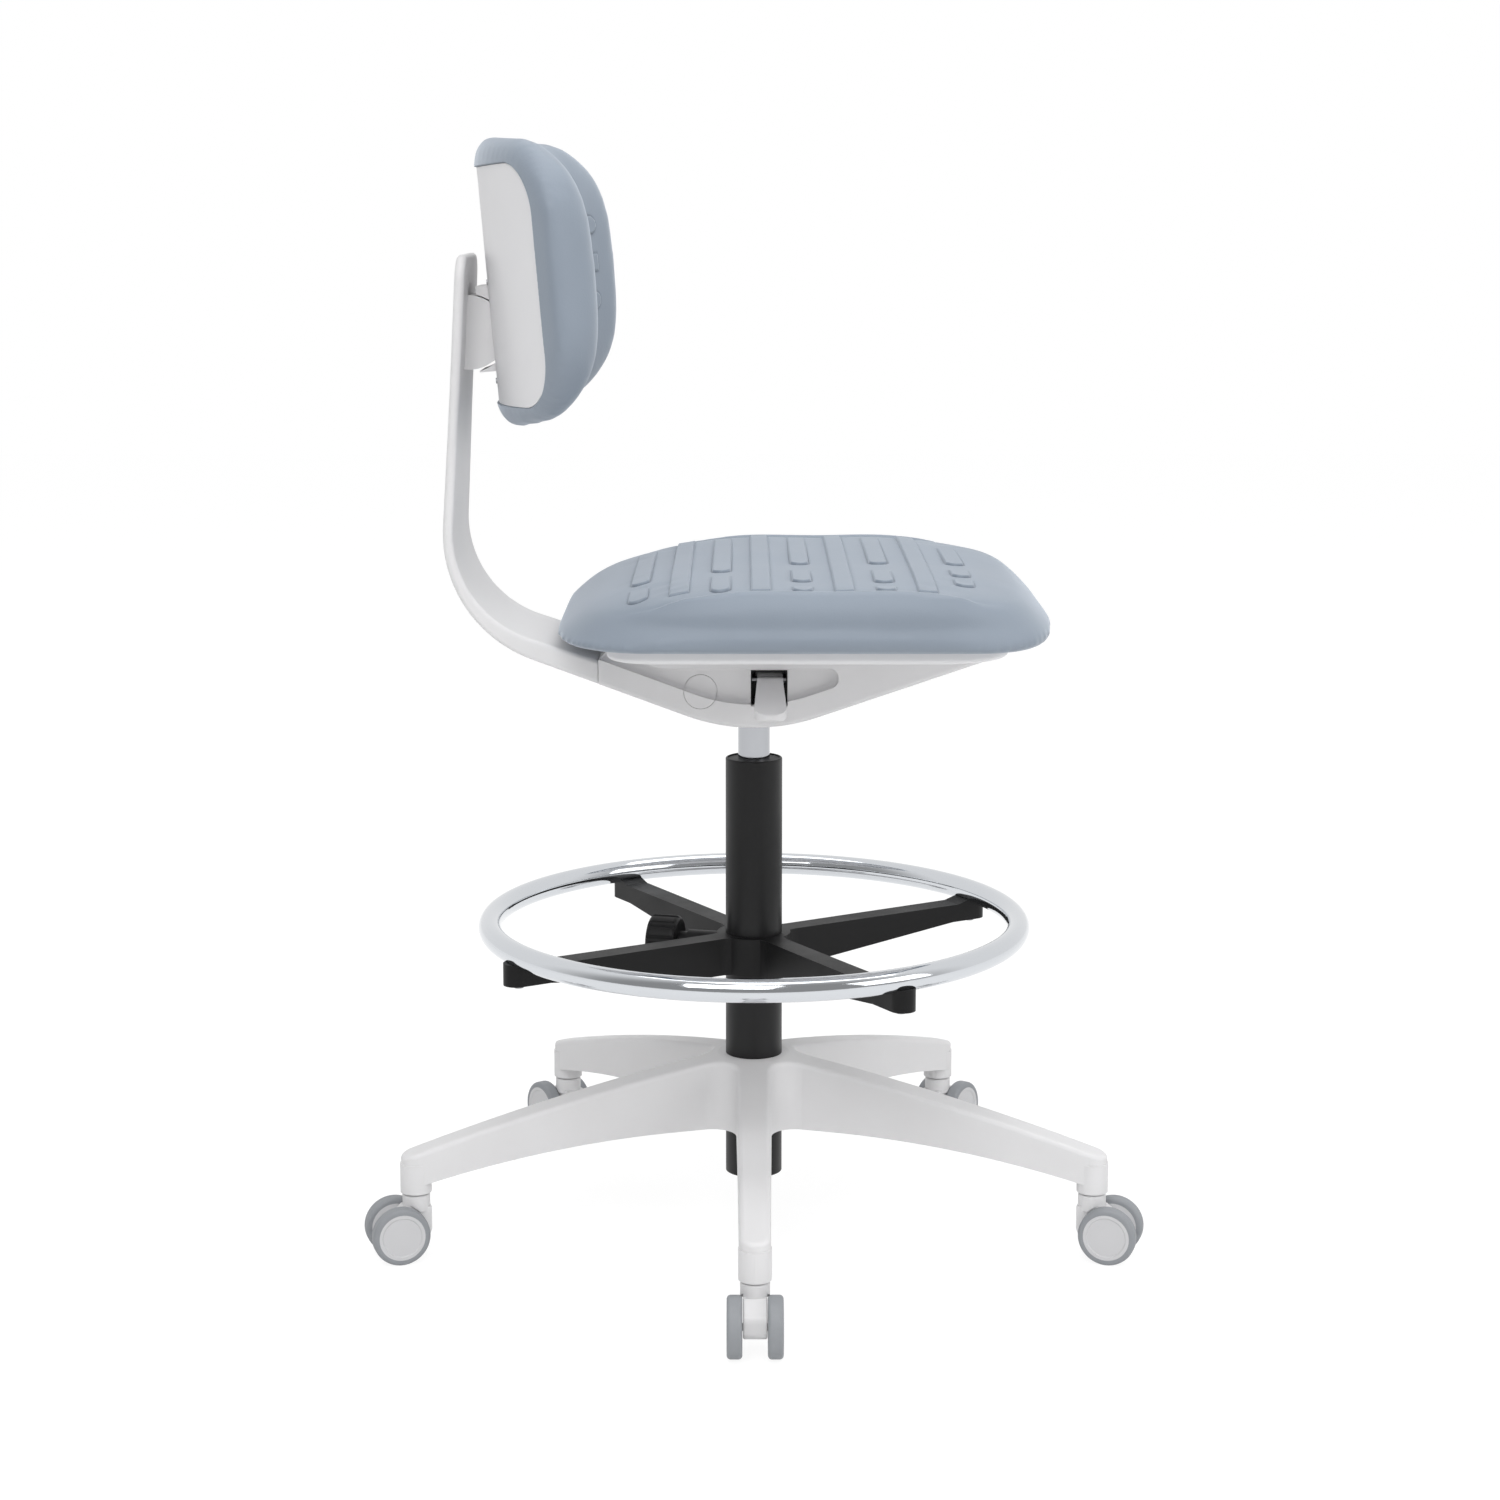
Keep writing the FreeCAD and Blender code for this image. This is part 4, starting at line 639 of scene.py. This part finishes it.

# black sheet in the lever's slot, painted shade for the dark cavity round the lever: a ring of rounded rectangles, out
# along the slot's walls and back inside them, with an inner wall that leaves a window for the lever. A row is middle
# x, middle z, half width, half height, y
slotShade = {
    "squareness": 9.0, "ringPoints": 96,
    "rows": ((0.01275, 0.4960, 0.01555, 0.01480, -0.0692), (0.01275, 0.4960, 0.01475, 0.01400, -0.0692),
             (0.01275, 0.4960, 0.01465, 0.01390, -0.0482), (0.01340, 0.5010, 0.01230, 0.00620, -0.0480),
             (0.01340, 0.5010, 0.01230, 0.00620, -0.0468), (0.01275, 0.4960, 0.01555, 0.01480, -0.0466)),
}


def slotShadeSurface(look):
    rows = np.array(look["rows"])[:, None, :]
    turn = np.linspace(0, 2 * np.pi, look["ringPoints"], endpoint=False)[None, :]
    wide, tall = (signedPower(wave(turn), 2 / look["squareness"]) for wave in (np.cos, np.sin))
    x = rows[..., 0] + rows[..., 2] * wide
    z = rows[..., 1] + rows[..., 3] * tall
    return np.stack([x, np.broadcast_to(rows[..., 4], x.shape), z], axis=-1)


# skin from a grid that wraps round both ways
def ringMesh(name, grid):
    rows, columns = grid.shape[:2]
    index = np.arange(rows * columns).reshape(rows, columns)
    below = np.roll(index, -1, axis=0)
    quads = np.stack([index, np.roll(index, -1, axis=1), np.roll(below, -1, axis=1), below], axis=-1)
    return addPiece(name, grid.reshape(-1, 3).tolist(), quads.reshape(-1, 4).tolist())


slotShadePiece = ringMesh("leverSlotShadeSheet", slotShadeSurface(slotShade))
# the black finish here is painted shade, standing for the dark cavity behind the lever
slotShadePiece.data.materials.append(blackNylon)
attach(slotShadePiece, "seat")
print("slot liner made")

# white studio: the floor and sky are white to the camera, and the sky lights the chair softly from above. In
# reflections the sky is bright beyond the chair and dimmer behind the camera
studio = {"floorHalf": 8.0, "floorTone": "#F4F4F4", "floorGlow": 0.82, "glowLevel": 1.1,
          "horizonLevel": 0.30, "skyLevel": 0.62, "skySpan": (0.05, 0.7),
          "mirrorBehind": 0.35, "mirrorFront": 0.94, "mirrorSpan": (-0.6, 0.2)}


# 1 for rays that come from the camera, and 1 for those mirrored or let through by the object
def seenDirectly(tree):
    path = addNode(tree, "ShaderNodeLightPath")
    mirrored = addNode(tree, "ShaderNodeMath", {"operation": "MAXIMUM"}, {
        0: path.outputs["Is Glossy Ray"], 1: path.outputs["Is Transmission Ray"]})
    return path.outputs["Is Camera Ray"], mirrored.outputs["Value"]


half = studio["floorHalf"]
floor = addPiece("floor", [(-half, -half, 0), (half, -half, 0), (half, half, 0), (-half, half, 0)], [(0, 1, 2, 3)])
floorPaint = bpy.data.materials.new("studio floor, painted")
floorPaint.use_nodes = True
tree = floorPaint.node_tree
tree.nodes.clear()
glow = addNode(tree, "ShaderNodeEmission", inputs={"Strength": studio["glowLevel"]})
matt = addNode(tree, "ShaderNodeBsdfDiffuse", inputs={"Color": linearFromHex(studio["floorTone"])})
straight, mirrored = seenDirectly(tree)
seen = addNode(tree, "ShaderNodeMath", {"operation": "MAXIMUM"}, {0: straight, 1: mirrored})
share = addNode(tree, "ShaderNodeMath", {"operation": "MULTIPLY"}, {
    0: seen.outputs["Value"], 1: studio["floorGlow"]})
floorMix = addNode(tree, "ShaderNodeMixShader", inputs={
    0: share.outputs["Value"], 1: matt.outputs["BSDF"], 2: glow.outputs["Emission"]})
addNode(tree, "ShaderNodeOutputMaterial", inputs={"Surface": floorMix.outputs["Shader"]})
floor.data.materials.append(floorPaint)

sky = bpy.data.worlds.new("studio")
bpy.context.scene.world = sky
sky.use_nodes = True
tree = sky.node_tree
tree.nodes.clear()
direction = addNode(tree, "ShaderNodeTexCoord").outputs["Generated"]
towards = addNode(tree, "ShaderNodeSeparateXYZ", inputs={"Vector": direction})
level = addNode(tree, "ShaderNodeMapRange", {"interpolation_type": "SMOOTHSTEP"}, {
    "Value": towards.outputs["Z"], "From Min": studio["skySpan"][0], "From Max": studio["skySpan"][1],
    "To Min": studio["horizonLevel"], "To Max": studio["skyLevel"]})
mirror = addNode(tree, "ShaderNodeMapRange", {"interpolation_type": "SMOOTHSTEP"}, {
    "Value": towards.outputs["Y"], "From Min": studio["mirrorSpan"][0], "From Max": studio["mirrorSpan"][1],
    "To Min": studio["mirrorBehind"], "To Max": studio["mirrorFront"]})
straight, mirrored = seenDirectly(tree)
reflected = addNode(tree, "ShaderNodeMix", {"data_type": "FLOAT"}, {
    0: mirrored, 2: level.outputs["Result"], 3: mirror.outputs["Result"]})
strength = addNode(tree, "ShaderNodeMix", {"data_type": "FLOAT"}, {
    0: straight, 2: reflected.outputs[0], 3: 1.0})
light = addNode(tree, "ShaderNodeBackground", inputs={
    "Color": linearFromHex("#FFFFFF"), "Strength": strength.outputs[0]})
addNode(tree, "ShaderNodeOutputWorld", inputs={"Surface": light.outputs["Background"]})

lampAim = (0.0, 0.0, 0.5)
lamps = {
    "overhead": {"at": (0.3, 0.2, 3.2), "size": 2.4, "watts": 36.0},
    "key": {"at": (-0.5, -2.6, 2.7), "size": 2.0, "watts": 49.0},
    "frontFill": {"at": (2.6, -1.6, 1.6), "size": 1.8, "watts": 22.0},
}


# rotation that points -Z from one place at another, with Y upwards
def aimed(at, aim):
    away = np.array(at) - np.array(aim)
    away = away / np.linalg.norm(away)
    right = np.cross((0.0, 0.0, 1.0), away)
    right = right / np.linalg.norm(right)
    up = np.cross(away, right)
    turn = Matrix(np.stack([right, up, away], axis=1).tolist()).to_4x4()
    return Matrix.Translation(at) @ turn


for name, lamp in lamps.items():
    data = bpy.data.lights.new(name, "AREA")
    data.size = lamp["size"]
    data.energy = lamp["watts"]
    thing = bpy.data.objects.new(name, data)
    bpy.context.scene.collection.objects.link(thing)
    thing.matrix_world = aimed(lamp["at"], lampAim)
print("studio lit")

# camera at the photograph's view: square frame of 1500 pixels, long lens, tipped down a little
view = {"at": (-0.0093, -2.5992, 0.9150), "tipDeg": 7.731, "focusPx": 2995.46, "framePx": 1500.0,
        "sensorMm": 36.0, "shiftX": 0.0044, "shiftY": -0.10}
lens = bpy.data.cameras.new("photoView")
lens.sensor_width = view["sensorMm"]
lens.sensor_fit = "HORIZONTAL"
lens.lens = view["focusPx"] / view["framePx"] * lens.sensor_width
lens.shift_x = view["shiftX"]
lens.shift_y = view["shiftY"]
camera = bpy.data.objects.new("photoView", lens)
camera.location = view["at"]
camera.rotation_euler = (math.radians(90.0 - view["tipDeg"]), 0.0, 0.0)
bpy.context.scene.collection.objects.link(camera)
bpy.context.scene.camera = camera
bpy.context.scene.view_settings.view_transform = "Standard"
print("camera placed")
